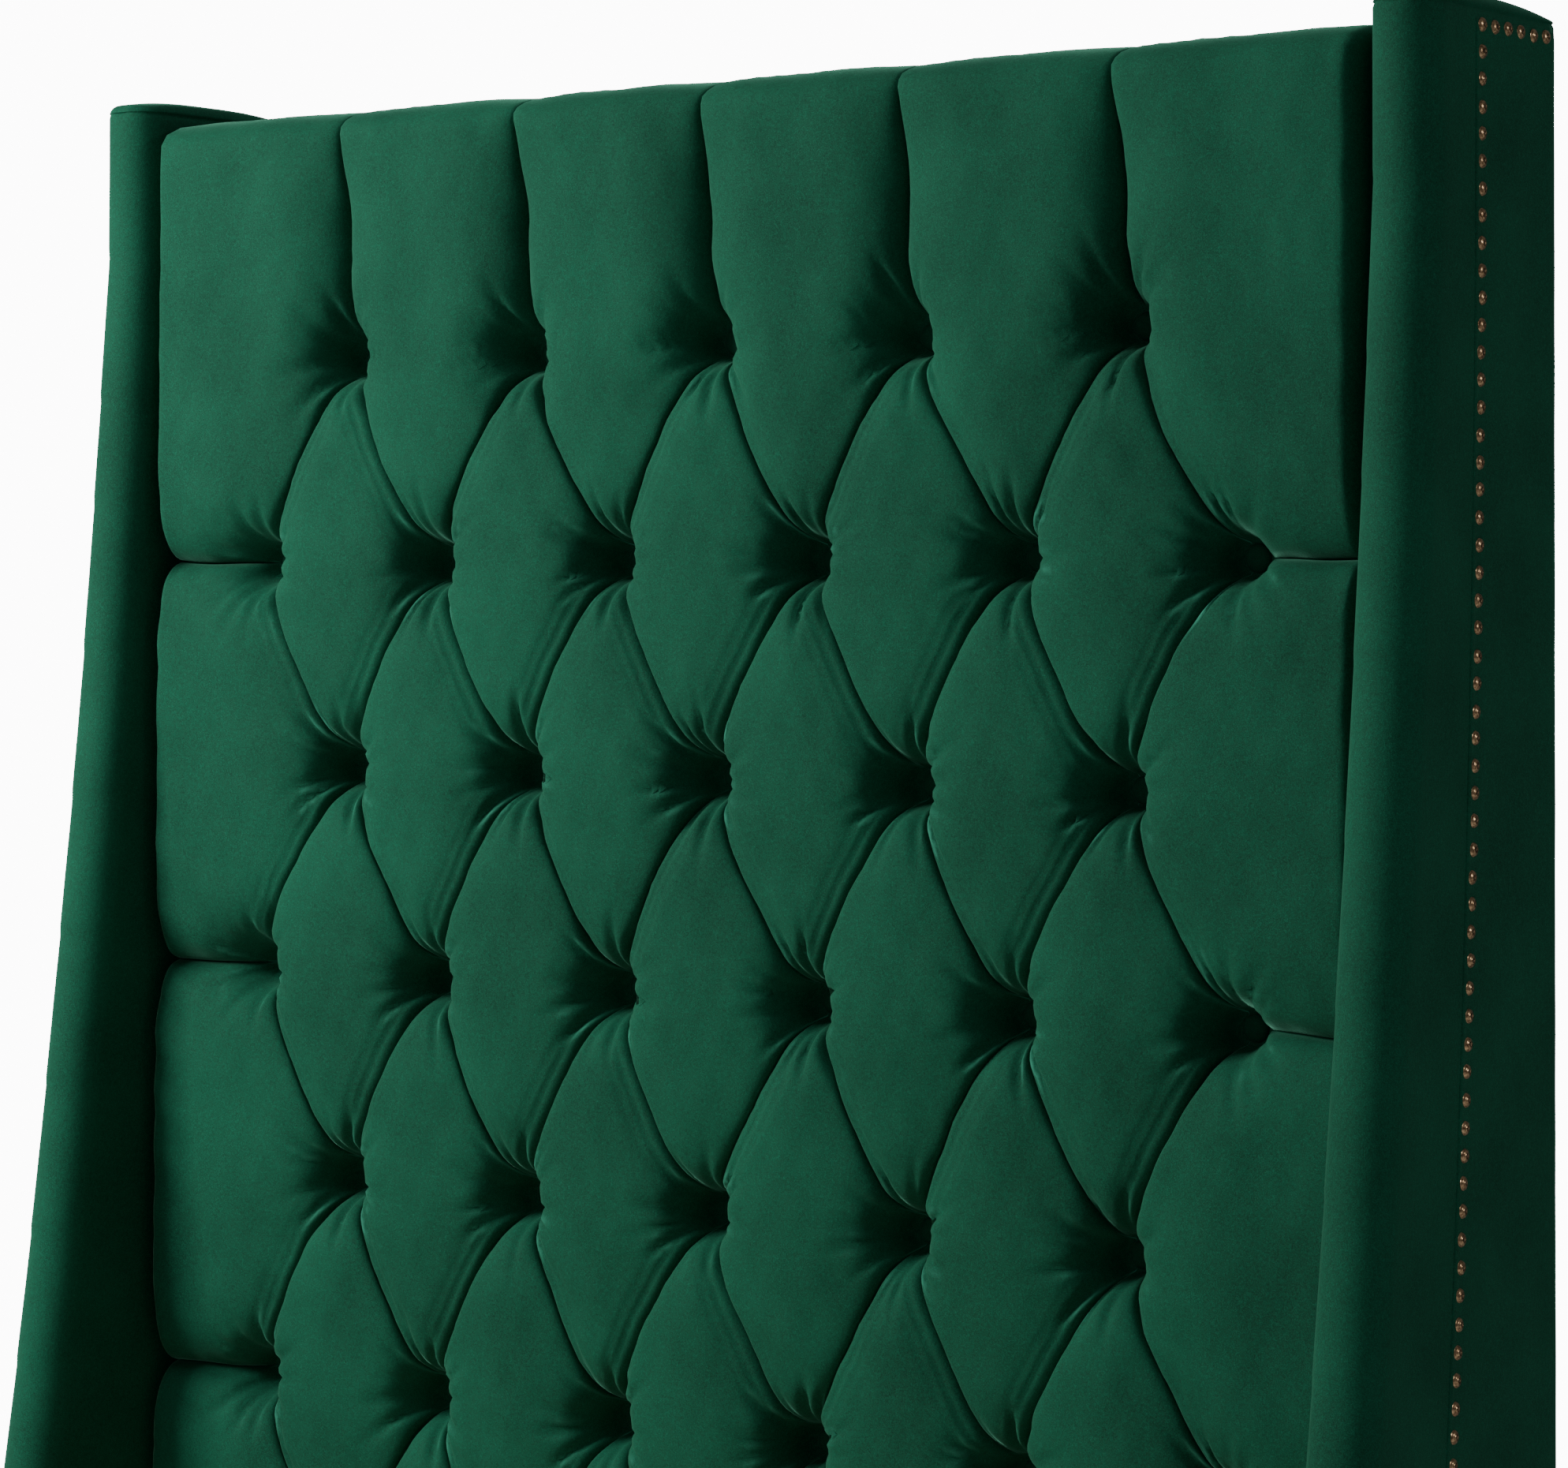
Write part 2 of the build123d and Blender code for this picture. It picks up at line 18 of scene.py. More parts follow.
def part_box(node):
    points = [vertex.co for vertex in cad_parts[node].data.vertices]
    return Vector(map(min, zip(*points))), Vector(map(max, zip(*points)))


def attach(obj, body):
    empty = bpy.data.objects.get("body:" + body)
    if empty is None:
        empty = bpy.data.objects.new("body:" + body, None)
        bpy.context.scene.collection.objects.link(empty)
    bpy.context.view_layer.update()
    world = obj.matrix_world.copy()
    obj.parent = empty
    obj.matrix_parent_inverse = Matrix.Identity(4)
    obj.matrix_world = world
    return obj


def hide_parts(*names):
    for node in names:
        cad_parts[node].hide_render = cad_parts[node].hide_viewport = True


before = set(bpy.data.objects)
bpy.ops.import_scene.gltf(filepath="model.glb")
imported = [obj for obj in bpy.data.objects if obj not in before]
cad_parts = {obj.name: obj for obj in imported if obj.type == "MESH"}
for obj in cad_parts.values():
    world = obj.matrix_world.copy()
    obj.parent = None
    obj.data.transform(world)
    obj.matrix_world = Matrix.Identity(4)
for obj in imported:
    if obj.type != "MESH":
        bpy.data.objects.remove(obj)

LOG = logging.getLogger("bed")
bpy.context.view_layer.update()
FRAME_BODY = "bed_frame"

Socket = bpy.types.NodeSocket
Material = bpy.types.Material
Colour = tuple[float, float, float]


# ---------------------------------------------------------------- finishes


class Side(Enum):
    """Side of the bed, with the sign of its X."""

    LEFT = -1
    RIGHT = 1

    @property
    def word(self) -> str:
        """Name of the side as it stands in the frame's node names."""
        return self.name.lower()


class Tree:
    """Small helper that adds shader nodes and joins them."""

    def __init__(self, name: str) -> None:
        """Start a material with an empty node tree.

        Args:
            name: Name of the material.
        """
        self.material = bpy.data.materials.new(name)
        self.material.use_nodes = True
        self.nodes = self.material.node_tree.nodes
        self.links = self.material.node_tree.links
        self.shader = self.nodes["Principled BSDF"]
        self.coords = self.nodes.new("ShaderNodeTexCoord").outputs["Object"]

    def put(self, socket: Socket, value: object) -> None:
        """Give a socket a link, if value is a socket, or a plain value."""
        if isinstance(value, bpy.types.NodeSocket):
            self.links.new(value, socket)
        else:
            socket.default_value = value

    def noise(self, scale: float, detail: float = 3.0, rough: float = 0.55,
              vector: Socket | None = None) -> Socket:
        """Noise pattern.

        Args:
            scale: Repeats per metre.
            detail: Octaves.
            rough: Weight of the finer octaves.
            vector: Where to read it; object coordinates when left out.

        Returns:
            The noise factor.
        """
        node = self.nodes.new("ShaderNodeTexNoise")
        self.put(node.inputs["Vector"], vector or self.coords)
        self.put(node.inputs["Scale"], scale)
        self.put(node.inputs["Detail"], detail)
        self.put(node.inputs["Roughness"], rough)
        return node.outputs["Fac"]

    def stretched(self, scale: tuple[float, float, float]) -> Socket:
        """Object coordinates scaled apart along each axis."""
        node = self.nodes.new("ShaderNodeMapping")
        self.put(node.inputs["Vector"], self.coords)
        node.inputs["Scale"].default_value = scale
        return node.outputs["Vector"]

    def ramp(self, factor: Socket, stops: list[tuple[float, Colour]]) -> Socket:
        """Colour ramp over a factor.

        Args:
            factor: Input factor.
            stops: Positions with their colours.

        Returns:
            The ramp's colour.
        """
        node = self.nodes.new("ShaderNodeValToRGB")
        self.put(node.inputs["Fac"], factor)
        elements = node.color_ramp.elements
        while len(elements) < len(stops):
            elements.new(0.5)
        for element, (place, colour) in zip(elements, stops):
            element.position = place
            element.color = (*colour, 1.0)
        return node.outputs["Color"]

    def mix(self, factor: Socket | float, first: Socket | Colour, second: Socket | Colour) -> Socket:
        """Blend of two colours.

        Args:
            factor: 0 for the first colour, 1 for the second.
            first: First colour.
            second: Second colour.

        Returns:
            The blended colour.
        """
        node = self.nodes.new("ShaderNodeMix")
        node.data_type = "RGBA"
        self.put(node.inputs["Factor"], factor)
        for socket, value in ((node.inputs[6], first), (node.inputs[7], second)):
            self.put(socket, (*value, 1.0) if isinstance(value, tuple) else value)
        return node.outputs[2]

    def attribute(self, name: str) -> Socket:
        """Value that a piece's mesh carries, or 0 where it carries none."""
        node = self.nodes.new("ShaderNodeAttribute")
        node.attribute_name = name
        return node.outputs["Fac"]

    def span(self, factor: Socket, low: float, high: float) -> Socket:
        """Factor carried from 0..1 to low..high."""
        node = self.nodes.new("ShaderNodeMapRange")
        self.put(node.inputs["Value"], factor)
        node.inputs["To Min"].default_value = low
        node.inputs["To Max"].default_value = high
        return node.outputs["Result"]

    def bump(self, height: Socket, strength: float, distance: float,
             under: Socket | None = None) -> Socket:
        """Bumped normal.

        Args:
            height: Height pattern.
            strength: Share of the effect.
            distance: Height in metres for a factor of 1.
            under: Normal of a coarser bump below this one.

        Returns:
            The normal.
        """
        node = self.nodes.new("ShaderNodeBump")
        self.put(node.inputs["Height"], height)
        node.inputs["Strength"].default_value = strength
        node.inputs["Distance"].default_value = distance
        if under is not None:
            self.links.new(under, node.inputs["Normal"])
        return node.outputs["Normal"]

    def finish(self, colour: Socket | Colour, roughness: Socket | float,
               normal: Socket | None = None) -> None:
        """Join colour, roughness and normal to the shader."""
        base = (*colour, 1.0) if isinstance(colour, tuple) else colour
        self.put(self.shader.inputs["Base Color"], base)
        self.put(self.shader.inputs["Roughness"], roughness)
        if normal is not None:
            self.links.new(normal, self.shader.inputs["Normal"])


@dataclass(frozen=True)
class Velvet:
    """Short cut pile: fine speckle, brushed patches and a soft sheen."""

    name: str = "emerald_velvet"
    deep: Colour = (0.0005, 0.018, 0.009)
    body: Colour = (0.0025, 0.066, 0.034)
    light: Colour = (0.012, 0.160, 0.090)
    # Painted highlight colour for the sharp bulges of the cover.
    crushed: Colour = (0.045, 0.300, 0.195)
    sheen: float = 0.36
    sheen_tint: Colour = (0.30, 0.85, 0.58)

    def make(self) -> Material:
        """Build the velvet material."""
        tree = Tree(self.name)
        speckle = tree.noise(950.0, 2.0, 0.7)
        tufts = tree.noise(260.0, 4.0, 0.65)
        brushed = tree.noise(7.0, 4.0, 0.5)
        pile = tree.ramp(speckle, [(0.30, self.deep), (0.50, self.body), (0.72, self.light)])
        clumps = tree.ramp(tufts, [(0.32, self.deep), (0.55, self.body), (0.80, self.light)])
        colour = tree.mix(0.36, pile, clumps)
        patches = tree.ramp(brushed, [(0.35, (0.002, 0.046, 0.024)), (0.65, (0.007, 0.105, 0.056))])
        colour = tree.mix(0.30, colour, patches)
        # Painted highlight: where the mesh attribute "ridge" marks a sharp bulge, the colour turns to the
        # highlight colour.
        colour = tree.mix(tree.attribute("ridge"), colour, self.crushed)
        normal = tree.bump(brushed, 0.25, 0.002)
        normal = tree.bump(tufts, 0.35, 0.0008, normal)
        normal = tree.bump(speckle, 0.30, 0.0004, normal)
        shader = tree.shader.inputs
        shader["Sheen Weight"].default_value = self.sheen
        shader["Sheen Roughness"].default_value = 0.30
        shader["Sheen Tint"].default_value = (*self.sheen_tint, 1.0)
        shader["Specular IOR Level"].default_value = 0.12
        tree.finish(colour, tree.span(tufts, 0.72, 0.95), normal)
        return tree.material


@dataclass(frozen=True)
class Timber:
    """Planed timber with long grain along one axis."""

    name: str
    pale: Colour
    dark: Colour
    grain: tuple[float, float, float]
    gloss: float = 0.55

    def make(self) -> Material:
        """Build the timber material."""
        tree = Tree(self.name)
        along = tree.stretched(self.grain)
        fibre = tree.noise(60.0, 6.0, 0.6, along)
        bands = tree.noise(9.0, 3.0, 0.5, along)
        colour = tree.mix(0.45, tree.ramp(bands, [(0.3, self.pale), (0.7, self.dark)]),
                          tree.ramp(fibre, [(0.3, self.dark), (0.6, self.pale)]))
        normal = tree.bump(fibre, 0.3, 0.0006)
        tree.finish(colour, tree.span(fibre, self.gloss, self.gloss + 0.2), normal)
        return tree.material


@dataclass(frozen=True)
class Metal:
    """Plated or patinated metal with worn high spots."""

    name: str
    bright: Colour
    dull: Colour
    rough: float
    wear_scale: float = 400.0

    def make(self) -> Material:
        """Build the metal material."""
        tree = Tree(self.name)
        wear = tree.noise(self.wear_scale, 4.0, 0.6)
        colour = tree.ramp(wear, [(0.35, self.dull), (0.65, self.bright)])
        tree.shader.inputs["Metallic"].default_value = 1.0
        gloss = tree.span(wear, self.rough + 0.12, self.rough - 0.06)
        tree.finish(colour, gloss, tree.bump(wear, 0.2, 0.0003))
        return tree.material


@dataclass(frozen=True)
class Cloth:
    """Plain woven or felted cloth, or moulded plastic with a fine grain."""

    name: str
    colour: Colour
    shade: Colour
    weave: float = 900.0
    rough: float = 0.85

    def make(self) -> Material:
        """Build the cloth material."""
        tree = Tree(self.name)
        threads = tree.noise(self.weave, 2.0, 0.6)
        cloud = tree.noise(12.0, 3.0, 0.5)
        colour = tree.mix(0.5, tree.ramp(threads, [(0.35, self.shade), (0.65, self.colour)]),
                          tree.ramp(cloud, [(0.3, self.shade), (0.7, self.colour)]))
        gloss = tree.span(threads, self.rough - 0.1, self.rough)
        tree.finish(colour, gloss, tree.bump(threads, 0.3, 0.0004))
        return tree.material


def made(recipe: Velvet | Timber | Metal | Cloth) -> Material:
    """Dataclass field that holds the material of a recipe."""
    return field(default_factory=recipe.make)


@dataclass
class Finishes:
    """Every material of the bed, made once."""

    velvet: Material = made(Velvet())
    # Buttons take a darker, less glossy copy of the cover velvet: painted shade of the pits they sit in.
    button: Material = made(Velvet("button_velvet", (0.0005, 0.014, 0.008), (0.002, 0.040, 0.021),
                                   (0.006, 0.085, 0.046), sheen=0.2))
    nail: Material = made(Metal("antique_bronze", (0.62, 0.42, 0.24), (0.16, 0.095, 0.052), 0.26))
    zinc: Material = made(Metal("zinc_plate", (0.66, 0.67, 0.69), (0.42, 0.43, 0.45), 0.38, 120.0))
    pine_x: Material = made(Timber("pine_across", (0.74, 0.56, 0.34), (0.60, 0.40, 0.21), (0.05, 1.0, 1.0)))
    pine_y: Material = made(Timber("pine_along", (0.72, 0.54, 0.33), (0.58, 0.39, 0.21), (1.0, 0.05, 1.0)))
    pine_z: Material = made(Timber("pine_upright", (0.72, 0.54, 0.33), (0.57, 0.38, 0.20), (1.0, 1.0, 0.05)))
    plywood: Material = made(Timber("birch_plywood", (0.78, 0.64, 0.44), (0.66, 0.50, 0.31),
                                    (0.06, 1.0, 0.6)))
    hardboard: Material = made(Cloth("hardboard", (0.34, 0.20, 0.11), (0.26, 0.15, 0.08), 500.0, 0.6))
    espresso: Material = made(Timber("espresso_wood", (0.075, 0.040, 0.022), (0.028, 0.014, 0.008),
                                     (1.0, 1.0, 0.06), 0.32))
    lining: Material = made(Cloth("black_lining", (0.030, 0.030, 0.032), (0.016, 0.016, 0.017)))
    twine: Material = made(Cloth("waxed_twine", (0.62, 0.55, 0.42), (0.45, 0.39, 0.28), 1500.0, 0.6))
    plastic: Material = made(Cloth("black_glide", (0.020, 0.020, 0.021), (0.012, 0.012, 0.013), 1200.0, 0.55))


# ---------------------------------------------------------------- mesh helpers


def make_object(name: str, points: np.ndarray, faces: list[tuple[int, ...]],
                material: Material) -> bpy.types.Object:
    """Smooth-shaded object from points and faces, with its faces turned outwards.

    Args:
        name: Name of the piece.
        points: Vertices in metres, one row each.
        faces: Vertex numbers of each face.
        material: Finish of the whole piece.

    Returns:
        The new object, linked to the scene.
    """
    mesh = bpy.data.meshes.new(name)
    mesh.from_pydata(points.tolist(), [], faces)
    work = bmesh.new()
    work.from_mesh(mesh)
    bmesh.ops.remove_doubles(work, verts=work.verts, dist=1e-6)
    bmesh.ops.recalc_face_normals(work, faces=work.faces)
    work.to_mesh(mesh)
    work.free()
    mesh.polygons.foreach_set("use_smooth", [True] * len(mesh.polygons))
    mesh.materials.append(material)
    made = bpy.data.objects.new(name, mesh)
    bpy.context.scene.collection.objects.link(made)
    return made


def mark_ridges(piece: bpy.types.Object, tightest: float, widest: float) -> None:
    """Store how sharply a piece's surface bulges, 0 to 1, as its attribute "ridge".

    Args:
        piece: The piece.
        tightest: Radius in metres of a bulge that counts in full.
        widest: Radius in metres of a bulge that no longer counts.
    """
    mesh = piece.data
    count = len(mesh.vertices)
    points, normals = np.empty(count * 3), np.empty(count * 3)
    mesh.vertices.foreach_get("co", points)
    mesh.vertices.foreach_get("normal", normals)
    points, normals = points.reshape(-1, 3), normals.reshape(-1, 3)
    ends = np.empty(len(mesh.edges) * 2, int)
    mesh.edges.foreach_get("vertices", ends)
    ends = ends.reshape(-1, 2)
    drop, number = np.zeros(count), np.zeros(count)
    for here, there in ((ends[:, 0], ends[:, 1]), (ends[:, 1], ends[:, 0])):
        step = points[there] - points[here]
        squared = np.maximum(np.einsum("ij,ij->i", step, step), 1e-9)
        fall = -np.einsum("ij,ij->i", step, normals[here]) / squared
        np.add.at(drop, here, 2 * fall)
        np.add.at(number, here, 1)
    bulge = drop / np.maximum(number, 1)
    share = np.clip((bulge - 1 / widest) / (1 / tightest - 1 / widest), 0, 1)
    layer = mesh.attributes.new("ridge", "FLOAT", "POINT")
    layer.data.foreach_set("value", share.astype(np.float32))


def ring_faces(rings: int, around: int, closed: bool = True) -> list[tuple[int, ...]]:
    """Quads between neighbouring rings of points.

    Args:
        rings: Number of rings.
        around: Points in a ring.
        closed: Whether the last point of a ring joins its first.

    Returns:
        The faces.
    """
    last = around if closed else around - 1
    faces = []
    for ring in range(rings - 1):
        for step in range(last):
            after = (step + 1) % around
            low, high = ring * around, (ring + 1) * around
            faces.append((low + step, low + after, high + after, high + step))
    return faces


def settle(piece: bpy.types.Object, slot: str, *nodes: str) -> bpy.types.Object:
    """Ride a piece on the bed and hide the nodes that it stands for."""
    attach(piece, FRAME_BODY)
    if nodes:
        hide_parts(*nodes)
    LOG.info("%s: %d faces", piece.name, len(piece.data.polygons))
    return piece


def ripples(points: np.ndarray, wavelengths: tuple[float, ...], seed: int) -> np.ndarray:
    """Smooth random ripples from crossing waves.

    Args:
        points: Places, one row each, in metres.
        wavelengths: Length of each set of waves in metres.
        seed: Seed of the waves' directions and phases.

    Returns:
        A height for each place, about -1 to 1.
    """
    rng = np.random.default_rng(seed)
    total = np.zeros(len(points))
    for wavelength in wavelengths:
        for _ in range(3):
            direction = rng.normal(size=points.shape[1])
            direction *= 2 * math.pi / (wavelength * np.linalg.norm(direction))
            total += np.sin(points @ direction + rng.uniform(0, 2 * math.pi))
    return total / (1.7 * len(wavelengths) ** 0.5 * 3 ** 0.5)


# ---------------------------------------------------------------- tufted panel


class Edge(Enum):
    """What bounds one side of a cell of the tufting."""

    FOLD = "fold between two buttons"
    PLEAT = "pleat from a button to the panel's edge"
    RIM = "rim of the cover"


@dataclass
class Cell:
    """One puffed cell of the tufting, its corners in order on the unrolled cover."""

    corners: list[tuple[float, float]]
    edges: list[Edge]


@dataclass
class TuftedPanel:
    """Deep-buttoned cover over the headboard's foam, rolled over its top and sides."""

    column: float = 0.254
    row: float = 0.2286
    counts: tuple[int, ...] = (5, 6, 5, 6, 5, 6, 5)
    top_row: float = 1.8076
    roll: float = 0.060
    side_set_in: float = 0.0225
    steps: int = 22
    crowding: float = 1.7
    fold_rise: float = 0.74
    pleat_rise: float = 0.84
    pleat_start: float = 0.13
    pleat_run: float = 0.15
    roundness: float = 2.9
    button_seat: float = 0.0190
    seat_reach: float = 0.038
    fold_over: float = 0.007
    tuck_lines: tuple[tuple[float, float], ...] = ((0.012, 0.16), (0.024, 0.08))
    tuck_width: float = 0.0042
    fold_half: float = 0.107
    pleat_half: float = 0.120
    pleat_floor: float = 0.30
    under_roll: float = 0.045
    rim_run: float = 0.045
    sway: float = 0.0035
    swell: float = 0.026
    rumple: float = 0.010
    gathers: int = 13
    jitter: float = 0.0022
    seed: int = 11

    def __post_init__(self) -> None:
        """Read the panel's box from the frame and place the buttons."""
        low, high = (Vector(corner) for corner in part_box("tufted_cover"))
        self.front, self.back = low.y, high.y
        self.top, self.bottom = high.z, low.z
        self.flat_x = high.x - self.side_set_in
        self.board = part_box("tuft_board")[0][1] - 0.002
        self.flat_top = self.top - 0.033
        self.flat_bottom = self.bottom + 0.025
        self.rim_u = self.flat_x + self.roll
        self.rim_top = self.flat_top + self.roll + self.back - self.board
        self.rim_bottom = self.flat_bottom - self.rim_run
        rng = np.random.default_rng(self.seed)
        self.buttons: dict[tuple[int, int], tuple[float, float]] = {}
        for r, count in enumerate(self.counts):
            for c in range(count):
                du, dw = rng.uniform(-self.jitter, self.jitter, 2)
                u = (c - (count - 1) / 2) * self.column + du
                self.buttons[r, c] = (u, self.top_row - r * self.row + dw)

    def cells(self) -> list[Cell]:
        """All cells of the cover: diamonds, the houses above and below, sides and corners."""
        at, fold, pleat, rim = self.buttons, Edge.FOLD, Edge.PLEAT, Edge.RIM
        last = len(self.counts) - 1
        found = []
        for r in range(1, last):
            wide = self.counts[r] == max(self.counts)
            for c in range(self.counts[r] - 1):
                other = c if wide else c + 1
                corners = [at[r, c], at[r + 1, other], at[r, c + 1], at[r - 1, other]]
                found.append(Cell(corners, [fold] * 4))
        for r, tip, rim_w in ((0, 1, self.rim_top), (last, last - 1, self.rim_bottom)):
            for c in range(self.counts[r] - 1):
                a, b = at[r, c], at[r, c + 1]
                corners = [a, at[tip, c + 1], b, (b[0], rim_w), (a[0], rim_w)]
                found.append(Cell(corners, [fold, fold, pleat, rim, pleat]))
        for side in (-1, 1):
            def end(r: int) -> tuple[float, float]:
                """Outermost button of a row on this side."""
                return at[r, 0 if side < 0 else self.counts[r] - 1]

            for r in range(1, last - 1, 2):
                a, tip, b = end(r), end(r + 1), end(r + 2)
                rim_u = side * self.rim_u
                corners = [(rim_u, a[1]), a, tip, b, (rim_u, b[1])]
                found.append(Cell(corners, [pleat, fold, fold, pleat, rim]))
            for r, inner, rim_w in ((0, 1, self.rim_top), (last, last - 1, self.rim_bottom)):
                a, b = end(r), end(inner)
                rim_u = side * self.rim_u
                corners = [(a[0], rim_w), a, b, (rim_u, b[1]), (rim_u, rim_w)]
                found.append(Cell(corners, [pleat, fold, pleat, rim, rim]))
        return found

    def patch_grid(self, cell: Cell) -> list[np.ndarray]:
        """Grids of points that fill a cell, one for each of its corners.

        Args:
            cell: The cell.

        Returns:
            Arrays of (steps + 1, steps + 1, 2) places on the unrolled cover.
        """
        corners = [np.array(corner) for corner in cell.corners]
        middle = sum(corners) / len(corners)
        even = np.linspace(0.0, 1.0, self.steps + 1)
        grids = []
        for j, corner in enumerate(corners):
            ahead = (corner + corners[(j + 1) % len(corners)]) / 2
            behind = (corner + corners[j - 1]) / 2
            a = even if cell.edges[j - 1] is Edge.RIM else even ** self.crowding
            b = even if cell.edges[j] is Edge.RIM else even ** self.crowding
            a, b = a[:, None, None], b[None, :, None]
            near = (1 - a) * (1 - b) * corner + a * (1 - b) * ahead
            grids.append(near + a * b * middle + (1 - a) * b * behind)
        return grids

    def puff(self, cell: Cell, places: np.ndarray) -> tuple[np.ndarray, np.ndarray]:
        """How far the cover stands up from the buttons, and how far its folds lean.

        Args:
            cell: The cell that the places lie in.
            places: Places on the unrolled cover.

        Returns:
            Height from 0 at a button to 1 on a crest, and a sideways shift in metres.
        """
        height = np.ones(len(places))
        valley_sum = np.zeros(len(places))
        weight_sum = np.zeros(len(places))
        shift = np.zeros_like(places)
        for j, kind in enumerate(cell.edges):
            if kind is Edge.RIM:
                continue
            start = np.array(cell.corners[j])
            end = np.array(cell.corners[(j + 1) % len(cell.corners)])
            if kind is Edge.PLEAT and tuple(start) not in self.buttons.values():
                start, end = end, start
            if kind is Edge.FOLD and tuple(start) > tuple(end):
                start, end = end, start
            length = np.linalg.norm(end - start)
            along = (end - start) / length
            across = np.array([-along[1], along[0]])
            offset = places - start
            t = np.clip(offset @ along / length, 0, 1)
            signed = offset @ across
            distance = np.abs(signed)
            half = self.fold_half if kind is Edge.FOLD else self.pleat_half
            q = np.clip(distance / half, 0, 1)
            height *= (1 - (1 - q) ** self.roundness) ** (1 / self.roundness)
            if kind is Edge.FOLD:
                valley = self.fold_rise * (4 * t * (1 - t)) ** 0.62
                rng = np.random.default_rng(abs(int(1e4 * (start[0] + 3.1 * start[1]))) + 7)
                lean = rng.choice((-1.0, 1.0)) * rng.uniform(0.6, 1.1) * self.fold_over
                taper = np.sin(math.pi * t) ** 0.5
                for place, depth in self.tuck_lines:
                    tuck = np.exp(-(((signed * np.sign(lean) - place) / self.tuck_width) ** 2))
                    height -= depth * tuck * np.clip(taper - 0.35, 0, 1)
                shift += across * (lean * taper * np.exp(-((distance / 0.022) ** 2)))[:, None]
            else:
                rise = np.clip((t * length - self.pleat_start) / self.pleat_run, 0, 1)
                low = self.pleat_floor * np.clip(t * length / 0.08, 0, 1)
                valley = low + (self.pleat_rise - low) * rise * rise * (3 - 2 * rise)
            weight = 1 / (q + 0.02) ** 2
            valley_sum += weight * valley
            weight_sum += weight
        valley = valley_sum / weight_sum
        total = valley + (1 - valley) * height
        shift *= height[:, None]
        return total, shift

    def gather(self, places: np.ndarray, height: np.ndarray) -> np.ndarray:
        """Sink the cover at the buttons and cut the small folds that fan out from them."""
        spots = np.array(list(self.buttons.values()))
        gaps = places[:, None, :] - spots[None, :, :]
        radii = np.hypot(gaps[..., 0], gaps[..., 1])
        nearest = radii.argmin(axis=1)
        rows = np.arange(len(places))
        r = radii[rows, nearest]
        angle = np.arctan2(gaps[rows, nearest, 1], gaps[rows, nearest, 0])
        q = np.clip((r - self.button_seat) / self.seat_reach, 0, 1)
        sunk = height * (1 - (1 - q) ** 2.6) ** (1 / 1.9)
        for number in range(len(spots)):
            mine = nearest == number
            rng = np.random.default_rng(500 + number)
            for gather in range(self.gathers):
                spoke = 2 * math.pi * (gather + rng.uniform(-0.35, 0.35)) / self.gathers
                depth = rng.uniform(0.04, 0.13)
                reach = rng.uniform(0.018, 0.034)
                turn = (angle[mine] - spoke + math.pi) % (2 * math.pi) - math.pi
                width = r[mine] * turn / rng.uniform(0.0030, 0.0050)
                sunk[mine] -= depth * np.exp(-width ** 2 - ((r[mine] - 0.046) / reach) ** 2)
        return np.clip(sunk, 0, 1.06)

    def place(self, flat: np.ndarray, height: np.ndarray) -> np.ndarray:
        """Carry places from the unrolled cover on to the padded headboard.

        Args:
            flat: Places on the unrolled cover.
            height: Height of the cover there, 0 to 1.

        Returns:
            Points in the bed's frame.
        """
        u, w = flat[:, 0], flat[:, 1]
        side = np.clip((np.abs(u) - self.flat_x) / self.roll, 0, 1) * math.pi / 2
        over = np.clip((w - self.flat_top) / self.roll, 0, 1) * math.pi / 2
        under = np.clip((self.flat_bottom - w) / self.under_roll, 0, 1) * math.pi / 2
        run = np.clip(w - self.flat_top - self.roll, 0, None)
        deep = 0.003 + (self.board - self.front - 0.003) * height
        wide = 0.004 + (self.side_set_in - 0.004) * height
        tall = 0.008 + (0.033 - 0.008) * height
        low = 0.006 + (0.025 - 0.006) * height
        x = np.sign(u) * (np.minimum(np.abs(u), self.flat_x) + wide * np.sin(side))
        y = self.board + run - deep * np.cos(side) * np.cos(over) * np.cos(under)
        z = np.clip(w, self.flat_bottom, self.flat_top) + tall * np.sin(over) - low * np.sin(under)
        return np.column_stack((x, y, z))

    def build(self, finishes: Finishes) -> None:
        """Make the cover and its buttons.

        Args:
            finishes: The bed's materials.
        """
        numbers: dict[tuple[float, float], int] = {}
        flats, heights, shifts, faces = [], [], [], []
        for cell in self.cells():
            for grid in self.patch_grid(cell):
                rows = grid.reshape(-1, 2)
                height, shift = self.puff(cell, rows)
                index = np.empty(len(rows), int)
                for i, key in enumerate(map(tuple, np.round(rows, 6))):
                    if key not in numbers:
                        numbers[key] = len(flats)
                        flats.append(rows[i])
                        heights.append(height[i])
                        shifts.append(shift[i])
                    index[i] = numbers[key]
                index = index.reshape(self.steps + 1, self.steps + 1)
                quads = np.stack((index[:-1, :-1], index[1:, :-1], index[1:, 1:], index[:-1, 1:]), -1)
                faces += [tuple(quad) for quad in quads.reshape(-1, 4).tolist()]
        flat, height = np.array(flats), np.array(heights)
        height = self.gather(flat, height)
        spots = np.array(list(self.buttons.values()))
        away = np.min(np.hypot(*(flat[:, None] - spots[None]).transpose(2, 0, 1)), axis=1)
        free = np.clip((away - 0.02) / 0.06, 0, 1)
        inside = np.clip((self.rim_u - np.abs(flat[:, 0])) / 0.05, 0, 1)
        sway = np.column_stack((ripples(flat, (0.16, 0.30), 3), ripples(flat, (0.16, 0.30), 4)))
        moved = flat + np.array(shifts) + self.sway * sway * (free * inside)[:, None]
        uneven = self.swell * ripples(flat, (0.06, 0.13), 5) + self.rumple * ripples(flat, (0.022, 0.04), 6)
        height = height + free * uneven
        points = self.place(moved, np.clip(height, 0, 1.04))
        faces += self.backing(faces, len(points))
